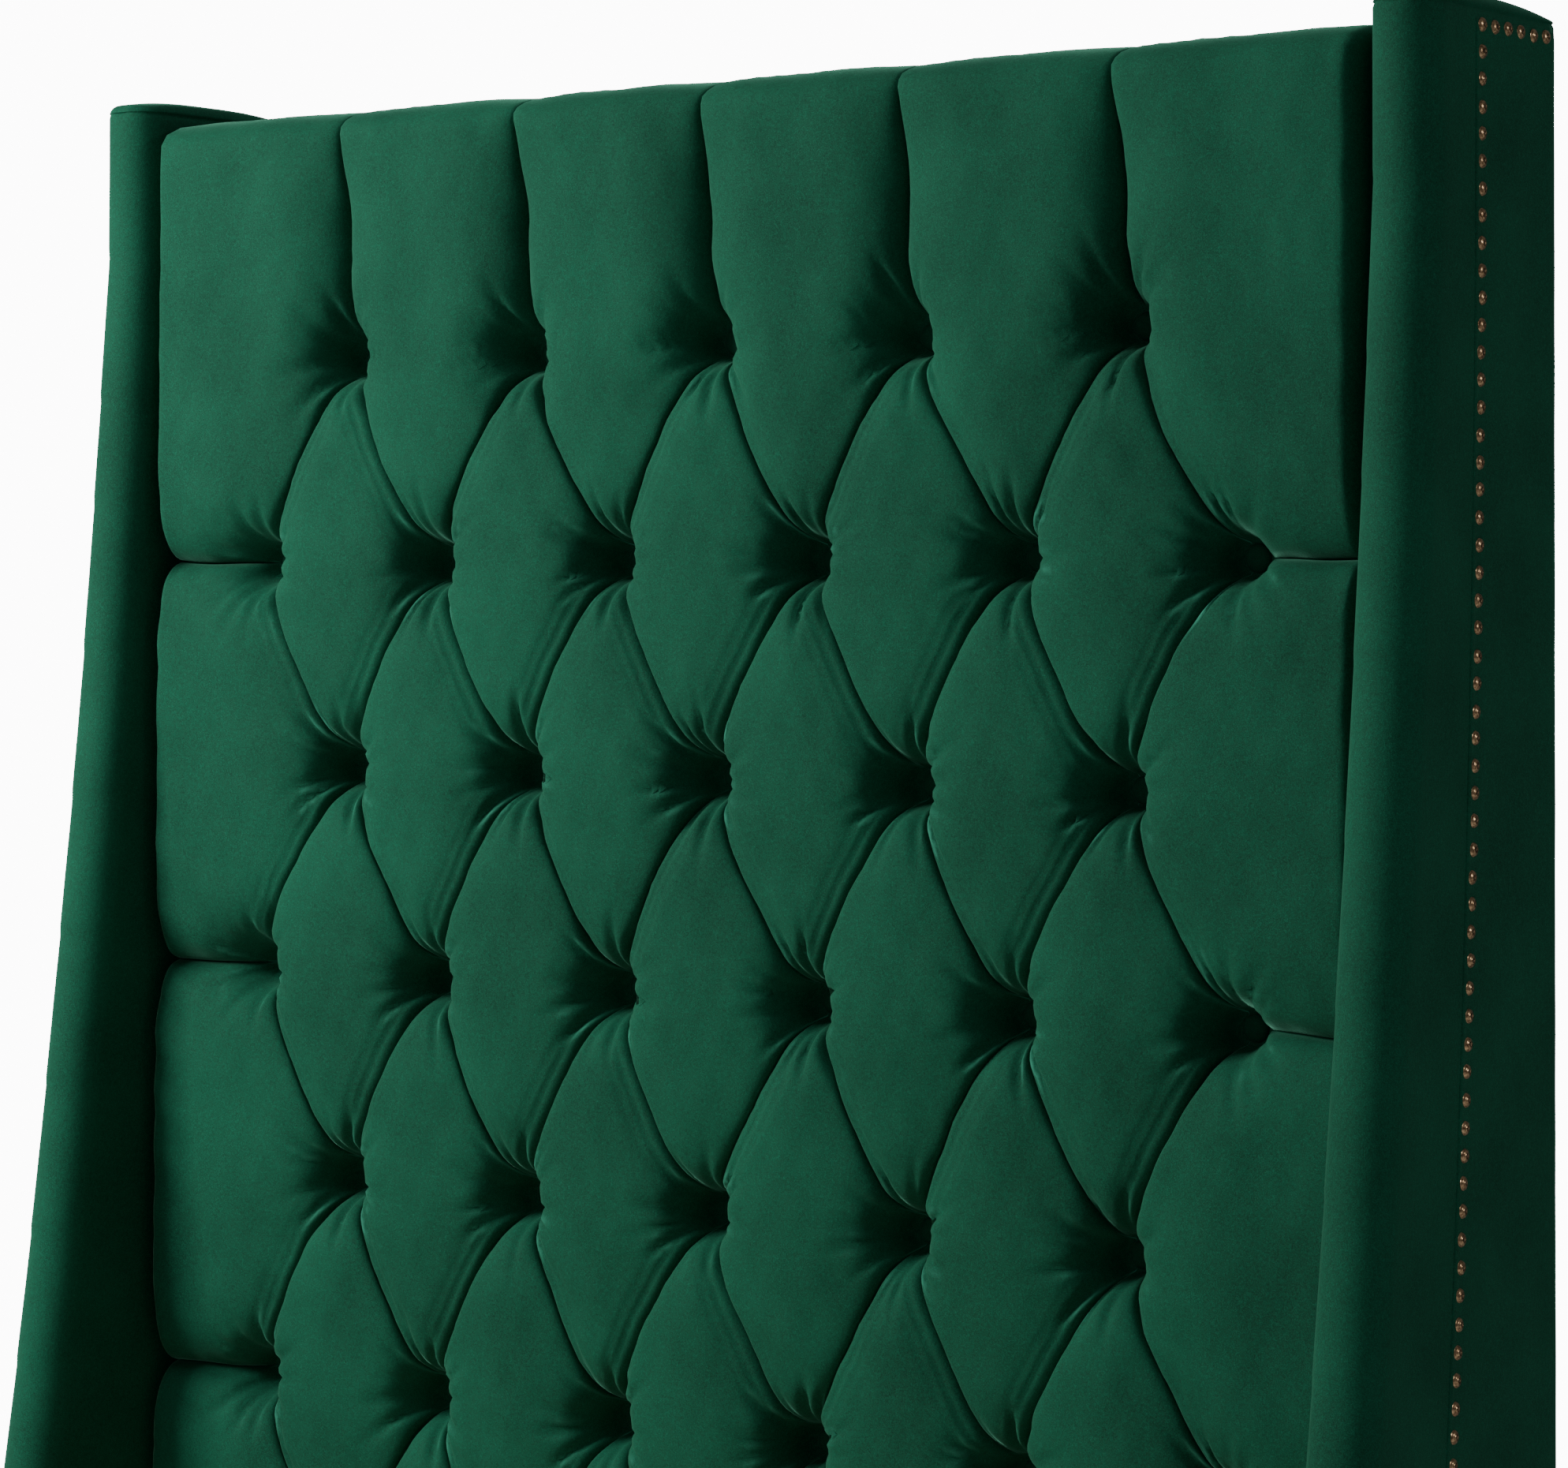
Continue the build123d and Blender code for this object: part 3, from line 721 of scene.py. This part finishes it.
        points = np.vstack((points, [[0.0, self.board + 0.001, 0.5 * (self.top + self.bottom)]]))
        cover = make_object("tufted_headboard_cover", points, faces, finishes.velvet)
        # How sharply the cover bulges; the velvet paints a highlight there.
        mark_ridges(cover, 0.004, 0.016)
        settle(cover, "velvet", "tufted_cover", "tuft_foam")
        self.make_buttons(finishes.button)

    @staticmethod
    def backing(faces: list[tuple[int, ...]], hub: int) -> list[tuple[int, ...]]:
        """Triangles from the cover's rim to one point behind it, which close the pad."""
        seen: dict[tuple[int, int], int] = {}
        for face in faces:
            for start, end in zip(face, face[1:] + face[:1]):
                pair = (min(start, end), max(start, end))
                seen[pair] = seen.get(pair, 0) + 1
        return [(a, b, hub) for (a, b), count in seen.items() if count == 1]

    def make_buttons(self, material: Material) -> None:
        """Covered buttons: a low dome with a turned-in rim, creased where the cloth is gathered."""
        radius, rise, around = 0.0148, 0.0078, 28
        profile = [(0.30, 1.00), (0.58, 0.93), (0.80, 0.78), (0.94, 0.54),
                   (1.00, 0.28), (0.97, 0.05), (0.80, -0.10)]
        points, faces = [], []
        rng = np.random.default_rng(21)
        for u, w in self.buttons.values():
            base = len(points)
            tilt_x, tilt_z = rng.uniform(-0.07, 0.07, 2)
            phase = rng.uniform(0, 2 * math.pi)
            y0 = self.board - 0.0015
            points.append((u, y0 - rise * 1.03, w))
            for share, level in profile:
                for step in range(around):
                    angle = 2 * math.pi * step / around
                    crimp = 1 + 0.018 * (1 - level) * math.sin(9 * angle + phase)
                    x, z = share * crimp * radius * math.cos(angle), share * crimp * radius * math.sin(angle)
                    points.append((u + x, y0 - rise * level + tilt_x * x + tilt_z * z, w + z))
            points.append((u, y0 + rise * 0.15, w))
            ring = base + 1
            faces += [(base, ring + step, ring + (step + 1) % around) for step in range(around)]
            faces += [tuple(ring + n for n in quad) for quad in ring_faces(len(profile), around)]
            end = ring + (len(profile) - 1) * around
            faces += [(len(points) - 1, end + (step + 1) % around, end + step) for step in range(around)]
        buttons = make_object("covered_buttons", np.array(points), faces, material)
        settle(buttons, "button_velvet", "tuft_buttons")


# ---------------------------------------------------------------- wings


@dataclass
class NailShape:
    """Sizes of one decorative nail head."""

    radius: float = 0.0070
    rise: float = 0.0038
    around: int = 14
    levels: int = 4

    def mesh(self) -> bpy.types.Mesh:
        """Dome with a small rim, its base at the origin and its crown towards +Z."""
        points, faces = [(0.0, 0.0, self.rise)], []
        for level in range(1, self.levels + 1):
            turn = level / self.levels * math.pi / 2
            r = self.radius * math.sin(turn)
            z = self.rise * math.cos(turn) ** 0.8 if level < self.levels else 0.0
            angles = [2 * math.pi * s / self.around for s in range(self.around)]
            points += [(r * math.cos(angle), r * math.sin(angle), z) for angle in angles]
        faces += [(0, 1 + s, 1 + (s + 1) % self.around) for s in range(self.around)]
        faces += [tuple(1 + n for n in quad) for quad in ring_faces(self.levels, self.around)]
        last = 1 + (self.levels - 1) * self.around
        faces.append(tuple(last + s for s in reversed(range(self.around))))
        mesh = bpy.data.meshes.new("nail_head")
        mesh.from_pydata(points, [], faces)
        mesh.polygons.foreach_set("use_smooth", [True] * len(mesh.polygons))
        return mesh


class ScatterTree:
    """Geometry Nodes that put one shape on every point of a mesh, each a little turned."""

    def __init__(self, name: str, shape: bpy.types.Object, material: Material) -> None:
        """Build the tree.

        Args:
            name: Name of the tree.
            shape: Object that is repeated.
            material: Finish of the result.
        """
        self.group = bpy.data.node_groups.new(name, "GeometryNodeTree")
        sockets = self.group.interface
        sockets.new_socket("Geometry", in_out="INPUT", socket_type="NodeSocketGeometry")
        sockets.new_socket("Scale", in_out="INPUT", socket_type="NodeSocketFloat")
        sockets.new_socket("Facing", in_out="INPUT", socket_type="NodeSocketVector")
        sockets.new_socket("Tilt", in_out="INPUT", socket_type="NodeSocketFloat")
        sockets.new_socket("Seed", in_out="INPUT", socket_type="NodeSocketInt")
        sockets.new_socket("Geometry", in_out="OUTPUT", socket_type="NodeSocketGeometry")
        add, link = self.group.nodes.new, self.group.links.new
        start, end = add("NodeGroupInput"), add("NodeGroupOutput")
        source = add("GeometryNodeObjectInfo")
        source.inputs["Object"].default_value = shape
        spread = add("FunctionNodeRandomValue")
        spread.data_type = "FLOAT_VECTOR"
        low = add("ShaderNodeVectorMath")
        low.operation = "SCALE"
        low.inputs[0].default_value = (-1.0, -1.0, -1.0)
        high = add("ShaderNodeVectorMath")
        high.operation = "SCALE"
        high.inputs[0].default_value = (1.0, 1.0, 1.0)
        link(start.outputs["Tilt"], low.inputs["Scale"])
        link(start.outputs["Tilt"], high.inputs["Scale"])
        link(low.outputs[0], spread.inputs["Min"])
        link(high.outputs[0], spread.inputs["Max"])
        link(start.outputs["Seed"], spread.inputs["Seed"])
        turned = add("ShaderNodeVectorMath")
        link(start.outputs["Facing"], turned.inputs[0])
        link(spread.outputs["Value"], turned.inputs[1])
        copies = add("GeometryNodeInstanceOnPoints")
        real = add("GeometryNodeRealizeInstances")
        dress = add("GeometryNodeSetMaterial")
        dress.inputs["Material"].default_value = material
        link(start.outputs["Geometry"], copies.inputs["Points"])
        link(source.outputs["Geometry"], copies.inputs["Instance"])
        link(turned.outputs[0], copies.inputs["Rotation"])
        link(start.outputs["Scale"], copies.inputs["Scale"])
        link(copies.outputs["Instances"], real.inputs["Geometry"])
        link(real.outputs["Geometry"], dress.inputs["Geometry"])
        link(dress.outputs["Geometry"], end.inputs["Geometry"])

    def run(self, name: str, points: np.ndarray, facing: tuple[float, float, float],
            scale: float = 1.0, tilt: float = 0.0, seed: int = 1) -> bpy.types.Object:
        """Put the shape on points and return the result as one plain mesh object.

        Args:
            name: Name of the new piece.
            points: Where the copies stand.
            facing: Turn of every copy, as Euler angles.
            scale: Size of the copies.
            tilt: Largest random turn, in radians.
            seed: Seed of the random turn.

        Returns:
            The new object.
        """
        carrier_mesh = bpy.data.meshes.new(name)
        carrier_mesh.from_pydata(points.tolist(), [], [])
        carrier = bpy.data.objects.new(name, carrier_mesh)
        bpy.context.scene.collection.objects.link(carrier)
        modifier = carrier.modifiers.new("scatter", "NODES")
        modifier.node_group = self.group
        values = {"Scale": scale, "Facing": facing, "Tilt": tilt, "Seed": seed}
        for item in self.group.interface.items_tree:
            if item.in_out == "INPUT" and item.name in values:
                modifier[item.identifier] = values[item.name]
        bpy.context.view_layer.update()
        evaluated = carrier.evaluated_get(bpy.context.evaluated_depsgraph_get())
        mesh = bpy.data.meshes.new_from_object(evaluated)
        carrier.modifiers.remove(modifier)
        carrier.data = mesh
        return carrier


@dataclass
class Wing:
    """Padded wing with a full rounded front, a domed top cap and a nailed side panel."""

    side: Side
    cap_seam: float = 0.018
    seam_before_nails: float = 0.012
    nail_pitch: float = 0.026
    back_gap: float = 0.0003
    level_step: float = 0.012

    def __post_init__(self) -> None:
        """Read the wing's box and front line from the frame."""
        cover = f"{self.side.word}_wing_cover"
        low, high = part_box(cover)
        self.inner = min(abs(low[0]), abs(high[0]))
        self.outer = max(abs(low[0]), abs(high[0]))
        self.bottom, self.top = low[2], high[2]
        self.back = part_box(f"{self.side.word}_wing_outer_cover")[1][1]
        self.round = (self.outer - self.inner) / 2 - 0.0015
        middle = (self.inner + self.outer) / 2
        self.line_z, self.line_y = self.edge_line(cover, middle, 0.004)
        self.seam_z, self.seam_y = self.edge_line(f"{self.side.word}_wing_outer_cover", self.outer, 0.0008)
        nails = f"{self.side.word}_wing_nails"
        self.top_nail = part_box(nails)[1][2] - NailShape().radius

    def edge_line(self, node: str, x: float, reach: float) -> tuple[np.ndarray, np.ndarray]:
        """Foremost Y of a node at a set of heights.

        Args:
            node: Name of the node.
            x: Distance from the bed's middle plane where the line runs.
            reach: How far from x a vertex may lie.

        Returns:
            Heights from the floor up, and the line's Y at each.
        """
        points = np.array([vertex.co[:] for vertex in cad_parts[node].data.vertices])
        near = points[np.abs(np.abs(points[:, 0]) - x) < reach]
        near = near[(near[:, 1] < 1.1) & (near[:, 2] < self.top - 0.02)]
        heights = np.round(near[:, 2], 3)
        levels = np.unique(heights)
        fronts = np.array([near[heights == level, 1].min() for level in levels])
        outermost = fronts < np.interp(levels, levels[[0, -1]], fronts[[0, -1]]) + 0.06
        return levels[outermost], fronts[outermost]

    def front(self, z: np.ndarray | float) -> np.ndarray:
        """Front line's Y at a height."""
        return np.interp(z, self.line_z, self.line_y)

    def section(self) -> np.ndarray:
        """Outline of the wing from above, round the loop from the back of one side to the other.

        Returns:
            Rows of x from the wing's middle, y behind the front line under the rounding, and
            share of the straight run towards the back.
        """
        half = (self.outer - self.inner) / 2
        rows = [(-half, self.round, share) for share in np.linspace(1, 0.04, 20)]
        for turn in np.linspace(math.pi, 0, 25):
            rows.append((half * math.cos(turn), self.round * (1 - math.sin(turn)), 0.0))
        rows += [(half, self.round, share) for share in np.linspace(0.04, 1, 20)]
        return np.array(rows)

    def build_padding(self, finishes: Finishes) -> None:
        """Padded body of the wing with its cover."""
        loop = self.section()
        seam = self.top - self.cap_seam
        body_z = np.arange(self.bottom, seam, self.level_step)
        levels = [(z, 1.0, 0.0) for z in body_z]
        levels += [(seam - 0.004, 1.0, 0.0), (seam - 0.0015, 0.97, 0.0018), (seam, 0.945, 0.0028),
                   (seam + 0.0015, 0.97, 0.0015)]
        for turn in np.linspace(0.08, 1.0, 12) * math.pi / 2:
            rise = self.cap_seam * math.sin(turn)
            levels.append((seam + rise, max(0.02, math.cos(turn) ** 0.62), 0.012 * (1 - math.cos(turn))))
        half_count = len(loop)
        rings = []
        for z, spread, inset in levels:
            front = self.front(min(z, seam))
            run = self.back - self.back_gap - front - self.round
            y = np.where(loop[:, 2] > 0, front + self.round + loop[:, 2] * run, front + loop[:, 1])
            y = np.maximum(y, front + inset)
            x = loop[:, 0] * spread
            along = np.clip((y - front) / (self.back - front), 0, 1) * 2 - 1
            level = np.full(half_count, z)
            if z > seam + 0.002:
                level = seam + (z - seam) * (0.50 + 0.50 * (1 - np.abs(along) ** 3))
            rings.append(np.column_stack((x, y, level)))
        points = np.vstack(rings)
        crown = 0.0016 * ripples(points, (0.25, 0.5), 31 + self.side.value)
        fine = 0.0006 * ripples(points, (0.045, 0.09), 41 + self.side.value)
        front_share = np.clip(1 - np.abs(points[:, 0]) / 0.040, 0.15, 1)
        front_share *= np.clip((self.back - 0.04 - points[:, 1]) / 0.08, 0, 1)
        points[:, 1] += (crown + fine) * front_share
        points[:, 0] *= 0.992 + 4.0 * fine
        points[:, 0] = self.side.value * (points[:, 0] + (self.inner + self.outer) / 2 - 0.001)
        points[:, 1] = np.minimum(points[:, 1], self.back - self.back_gap)
        faces = ring_faces(len(levels), half_count)
        faces.append(tuple(reversed(range(half_count))))
        faces.append(tuple(range((len(levels) - 1) * half_count, len(levels) * half_count)))
        name = f"{self.side.word}_wing"
        piece = make_object(f"{name}_padding", points, faces, finishes.velvet)
        settle(piece, "velvet", f"{name}_cover", f"{name}_foam")

    def build_panel(self, finishes: Finishes) -> None:
        """Flat side panel behind the nails, with a turned edge, over the outer side and the back."""
        low_z, high_z = self.bottom + 0.001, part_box(f"{self.side.word}_wing_outer_cover")[1][2]
        z = np.linspace(low_z, high_z, 170)
        share = np.concatenate(([0.0, 0.004, 0.012, 0.03], np.linspace(0.06, 0.96, 22), [0.985, 1.0]))
        front = np.interp(z, self.seam_z, self.seam_y)[:, None]
        y = front + share[None, :] * (self.back - front)
        lift = np.interp(share, [0, 0.004, 0.012, 0.05, 0.15, 0.95, 1.0],
                         [0.0, 0.7, 1.0, 0.75, 0.9, 1.0, 0.4])
        end = np.minimum(1, np.minimum(z - low_z, high_z - z) / 0.004)
        x = self.outer - 0.0016 + 0.0016 * lift[None, :] * end[:, None] ** 0.5
        grid = np.stack((x, y, np.broadcast_to(z[:, None], y.shape)), -1)
        outer = grid.reshape(-1, 3)
        outer[:, 0] += 0.0003 * ripples(outer, (0.06, 0.12), 51)
        inner = outer.copy()
        inner[:, 0] = self.outer - 0.004
        across = len(share)
        faces = ring_faces(len(z), across, closed=False)
        count = len(outer)
        faces += [tuple(count + n for n in reversed(face)) for face in faces]
        rim = list(range(across)) + [across * (n + 1) + across - 1 for n in range(len(z) - 1)]
        rim += list(range(count - 2, count - across - 1, -1)) + [across * n for n in range(len(z) - 2, 0, -1)]
        faces += [(a, b, b + count, a + count) for a, b in zip(rim, rim[1:] + rim[:1])]
        points = np.vstack((outer, inner))
        points[:, 0] *= self.side.value
        name = f"{self.side.word}_wing"
        piece = make_object(f"{name}_side_panel", points, faces, finishes.velvet)
        settle(piece, "velvet", f"{name}_outer_cover")

    def nail_points(self) -> np.ndarray:
        """Places of the nails, down the side's front edge and back along its top."""
        top = self.top_nail

        def line(height: float) -> float:
            """Y of the nail line at a height."""
            return float(np.interp(height, self.seam_z, self.seam_y)) + self.seam_before_nails

        places, z = [], top
        while z > self.bottom + 0.02:
            places.append((line(z), z))
            slope = (line(z) - line(z - 0.02)) / 0.02
            z -= self.nail_pitch / math.hypot(1, slope)
        y = places[0][0] + self.nail_pitch
        while y < self.back - self.nail_pitch / 2:
            places.append((y, top))
            y += self.nail_pitch
        rng = np.random.default_rng(61 + self.side.value)
        spots = np.array([(self.side.value * self.outer, y, z) for y, z in places])
        spots[:, 1:] += rng.normal(0, 0.0005, (len(spots), 2))
        spots[:, 0] -= self.side.value * 0.0004
        return spots

    def build_nails(self, scatter: ScatterTree) -> None:
        """Row of domed nails round the side panel."""
        name = f"{self.side.word}_wing"
        facing = (0.0, self.side.value * math.pi / 2, 0.0)
        nails = scatter.run(f"{name}_nail_trim", self.nail_points(), facing, tilt=0.06, seed=5)
        settle(nails, "antique_nail", f"{name}_nails")

    def build(self, finishes: Finishes, scatter: ScatterTree) -> None:
        """Make the whole wing."""
        self.build_padding(finishes)
        self.build_panel(finishes)
        self.build_nails(scatter)


# ---------------------------------------------------------------- rails and footboard


@dataclass
class PaddedBar:
    """Long padded bar: a rounded section carried along one axis, crowned between its ends."""

    name: str
    nodes: tuple[str, ...]
    low: Vector
    high: Vector
    along_x: bool
    edge: float = 0.018
    crown: float = 0.003
    seed: int = 70

    def section(self, wide: float, tall: float) -> np.ndarray:
        """Rounded rectangle about the origin as (across, up) rows."""
        rows, steps = [], 7
        for quarter, (sx, sz) in enumerate(((1, 1), (-1, 1), (-1, -1), (1, -1))):
            for turn in np.linspace(0, math.pi / 2, steps):
                angle = quarter * math.pi / 2 + turn
                rows.append((sx * (wide / 2 - self.edge) + self.edge * math.cos(angle),
                             sz * (tall / 2 - self.edge) + self.edge * math.sin(angle)))
        dense = []
        for start, end in zip(rows, rows[1:] + rows[:1]):
            gap = math.dist(start, end)
            parts = max(1, round(gap / 0.02))
            first, whole = np.array(start), np.array(end) - np.array(start)
            dense += [tuple(first + whole * n / parts) for n in range(parts)]
        return np.array(dense)

    def build(self, finishes: Finishes) -> None:
        """Make the bar."""
        size = self.high - self.low
        middle = (self.high + self.low) / 2
        length, wide = (size.x, size.y) if self.along_x else (size.y, size.x)
        loop = self.section(wide - 2 * self.crown, size.z - 2 * self.crown)
        stations = np.concatenate((np.array([0, 0.0015, 0.005, 0.011]), np.linspace(0.02, length - 0.02, 110),
                                   length - np.array([0.011, 0.005, 0.0015, 0])))
        rings = []
        for station in stations:
            end = min(station, length - station)
            shrink = self.edge * 0.55 * (1 - math.sqrt(1 - (1 - min(1, end / 0.016)) ** 2))
            ring = loop.copy()
            reach = np.abs(ring).max(axis=0)
            ring *= 1 - shrink / reach
            rings.append(np.column_stack((np.full(len(ring), station - length / 2), ring)))
        points = np.vstack(rings)
        swell = 0.5 + 0.5 * ripples(points, (0.12, 0.35), self.seed)
        direction = points[:, 1:] / np.linalg.norm(points[:, 1:], axis=1)[:, None]
        points[:, 1:] += direction * (self.crown * np.clip(swell, 0, 1))[:, None]
        if not self.along_x:
            points = points[:, [1, 0, 2]]
        points += np.array(middle)
        around = len(loop)
        faces = ring_faces(len(stations), around)
        faces += [tuple(reversed(range(around))), tuple(range(len(points) - around, len(points)))]
        piece = make_object(self.name, points, faces, finishes.velvet)
        settle(piece, "velvet", *self.nodes)


def build_bars(finishes: Finishes) -> None:
    """Covers of the two side rails and the footboard."""
    for side in Side:
        cover = f"{side.word}_rail_cover"
        low, high = (Vector(corner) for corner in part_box(cover))
        nodes = (cover, f"{side.word}_rail_foam", f"{side.word}_rail_core")
        bar = PaddedBar(f"{side.word}_rail_padding", nodes, low, high, along_x=False, seed=70 + side.value)
        bar.build(finishes)
    low, high = (Vector(corner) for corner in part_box("footboard_cover"))
    nodes = ("footboard_cover", "footboard_foam", "footboard_core")
    PaddedBar("footboard_padding", nodes, low, high, along_x=True, edge=0.022, seed=77).build(finishes)


# ---------------------------------------------------------------- carried-over parts


def dress_frame(finishes: Finishes) -> None:
    """Give every carried-over CAD node its finish."""
    by_word = (
        ("slat_ledge", finishes.pine_y), ("slat_", finishes.pine_x), ("bed_brackets", finishes.zinc),
        ("frame_bolts", finishes.zinc), ("leg_inserts", finishes.zinc), ("levelling", finishes.zinc),
        ("floor_glides", finishes.plastic), ("foot_", finishes.espresso), ("tuft_board", finishes.plywood),
        ("skins", finishes.hardboard), ("back_cover", finishes.lining), ("button_ties", finishes.twine),
        ("centre_beam", finishes.pine_y), ("rail_core", finishes.pine_y), ("post", finishes.pine_z),
        ("stile", finishes.pine_z), ("centre_leg", finishes.pine_z), ("rail", finishes.pine_x),
        ("footboard_core", finishes.pine_x), ("cover", finishes.velvet), ("foam", finishes.velvet),
        ("nails", finishes.nail), ("tuft_buttons", finishes.button),
    )
    for name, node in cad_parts.items():
        material = next(finish for word, finish in by_word if word in name)
        node.data.materials.clear()
        node.data.materials.append(material)
    LOG.info("dressed %d nodes", len(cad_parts))


# ---------------------------------------------------------------- studio


@dataclass
class Studio:
    """Pale floor, soft lights and the camera."""

    eye: tuple[float, float, float] = (2.862, -2.765, 1.526)
    yaw: float = 36.59
    pitch: float = 1.25
    roll: float = -0.14
    lens: float = 102.82
    shift_y: float = -0.1411

    def build(self) -> None:
        """Make the floor, the world, the lights and the camera."""
        camera_data = bpy.data.cameras.new("camera")
        camera_data.lens = self.lens
        camera_data.sensor_width = 36.0
        camera_data.shift_y = self.shift_y
        camera_data.clip_end = 60.0
        camera = bpy.data.objects.new("camera", camera_data)
        camera.location = self.eye
        turn = Matrix.Rotation(math.radians(self.yaw), 3, "Z")
        turn = turn @ Matrix.Rotation(math.radians(self.pitch), 3, "X")
        turn = turn @ Matrix.Rotation(math.radians(self.roll), 3, "Y") @ Matrix.Rotation(math.pi / 2, 3, "X")
        camera.rotation_euler = turn.to_euler()
        bpy.context.scene.collection.objects.link(camera)
        bpy.context.scene.camera = camera
        self.build_floor()
        self.build_world()
        self.add_light("key", (-2.5, -1.5, 2.7), (-0.2, 0.95, 1.35), 1.2, 190.0)
        self.add_light("fill", (-0.4, -4.6, 2.0), (0.0, 0.6, 1.2), 3.0, 20.0)
        self.add_light("top", (-0.4, 0.0, 4.6), (0.0, 0.6, 1.0), 2.0, 26.0)
        self.add_light("glint", (5.0, 1.0, 2.9), (0.87, 1.0, 1.5), 0.7, 26.0)

    @staticmethod
    def build_floor() -> None:
        """Large pale floor."""
        floor_tree = Tree("pale_floor")
        clouds = [(0.0, (0.80, 0.80, 0.79)), (1.0, (0.86, 0.86, 0.85))]
        floor_tree.finish(floor_tree.ramp(floor_tree.noise(3.0), clouds), 0.8)
        mesh = bpy.data.meshes.new("floor")
        near, far = 8.0, 3.0
        corners = [(-far, -near, 0), (near, -near, 0), (near, far, 0), (-far, far, 0)]
        mesh.from_pydata(corners, [], [(0, 1, 2, 3)])
        mesh.materials.append(floor_tree.material)
        floor = bpy.data.objects.new("floor", mesh)
        bpy.context.scene.collection.objects.link(floor)

    @staticmethod
    def build_world() -> None:
        """White surroundings that light the bed only softly."""
        world = bpy.data.worlds.new("studio")
        world.use_nodes = True
        background = world.node_tree.nodes["Background"]
        background.inputs["Color"].default_value = (1.0, 1.0, 1.0, 1.0)
        background.inputs["Strength"].default_value = 0.12
        seen = world.node_tree.nodes.new("ShaderNodeBackground")
        seen.inputs["Color"].default_value = (1.0, 1.0, 1.0, 1.0)
        seen.inputs["Strength"].default_value = 12.0
        rays = world.node_tree.nodes.new("ShaderNodeLightPath")
        blend = world.node_tree.nodes.new("ShaderNodeMixShader")
        link = world.node_tree.links.new
        link(rays.outputs["Is Camera Ray"], blend.inputs["Fac"])
        link(background.outputs["Background"], blend.inputs[1])
        link(seen.outputs["Background"], blend.inputs[2])
        link(blend.outputs["Shader"], world.node_tree.nodes["World Output"].inputs["Surface"])
        bpy.context.scene.world = world

    @staticmethod
    def add_light(name: str, place: tuple[float, float, float], target: tuple[float, float, float],
                  size: float, power: float) -> None:
        """Soft square light.

        Args:
            name: Name of the light.
            place: Where it stands.
            target: What it points at.
            size: Side of the square, in metres.
            power: Power in watts.
        """
        data = bpy.data.lights.new(name, "AREA")
        data.size = size
        data.energy = power
        light = bpy.data.objects.new(name, data)
        light.location = place
        light.rotation_euler = (Vector(target) - Vector(place)).to_track_quat("-Z", "Y").to_euler()
        bpy.context.scene.collection.objects.link(light)


def main() -> None:
    """Build the bed's visible pieces in order."""
    logging.basicConfig(level=logging.INFO, format="%(name)s %(message)s")
    Studio().build()
    finishes = Finishes()
    dress_frame(finishes)
    TuftedPanel().build(finishes)
    nail_object = bpy.data.objects.new("nail_head", NailShape().mesh())
    scatter = ScatterTree("nail_row", nail_object, finishes.nail)
    for side in Side:
        Wing(side).build(finishes, scatter)
    build_bars(finishes)


if __name__ == "__main__":
    main()
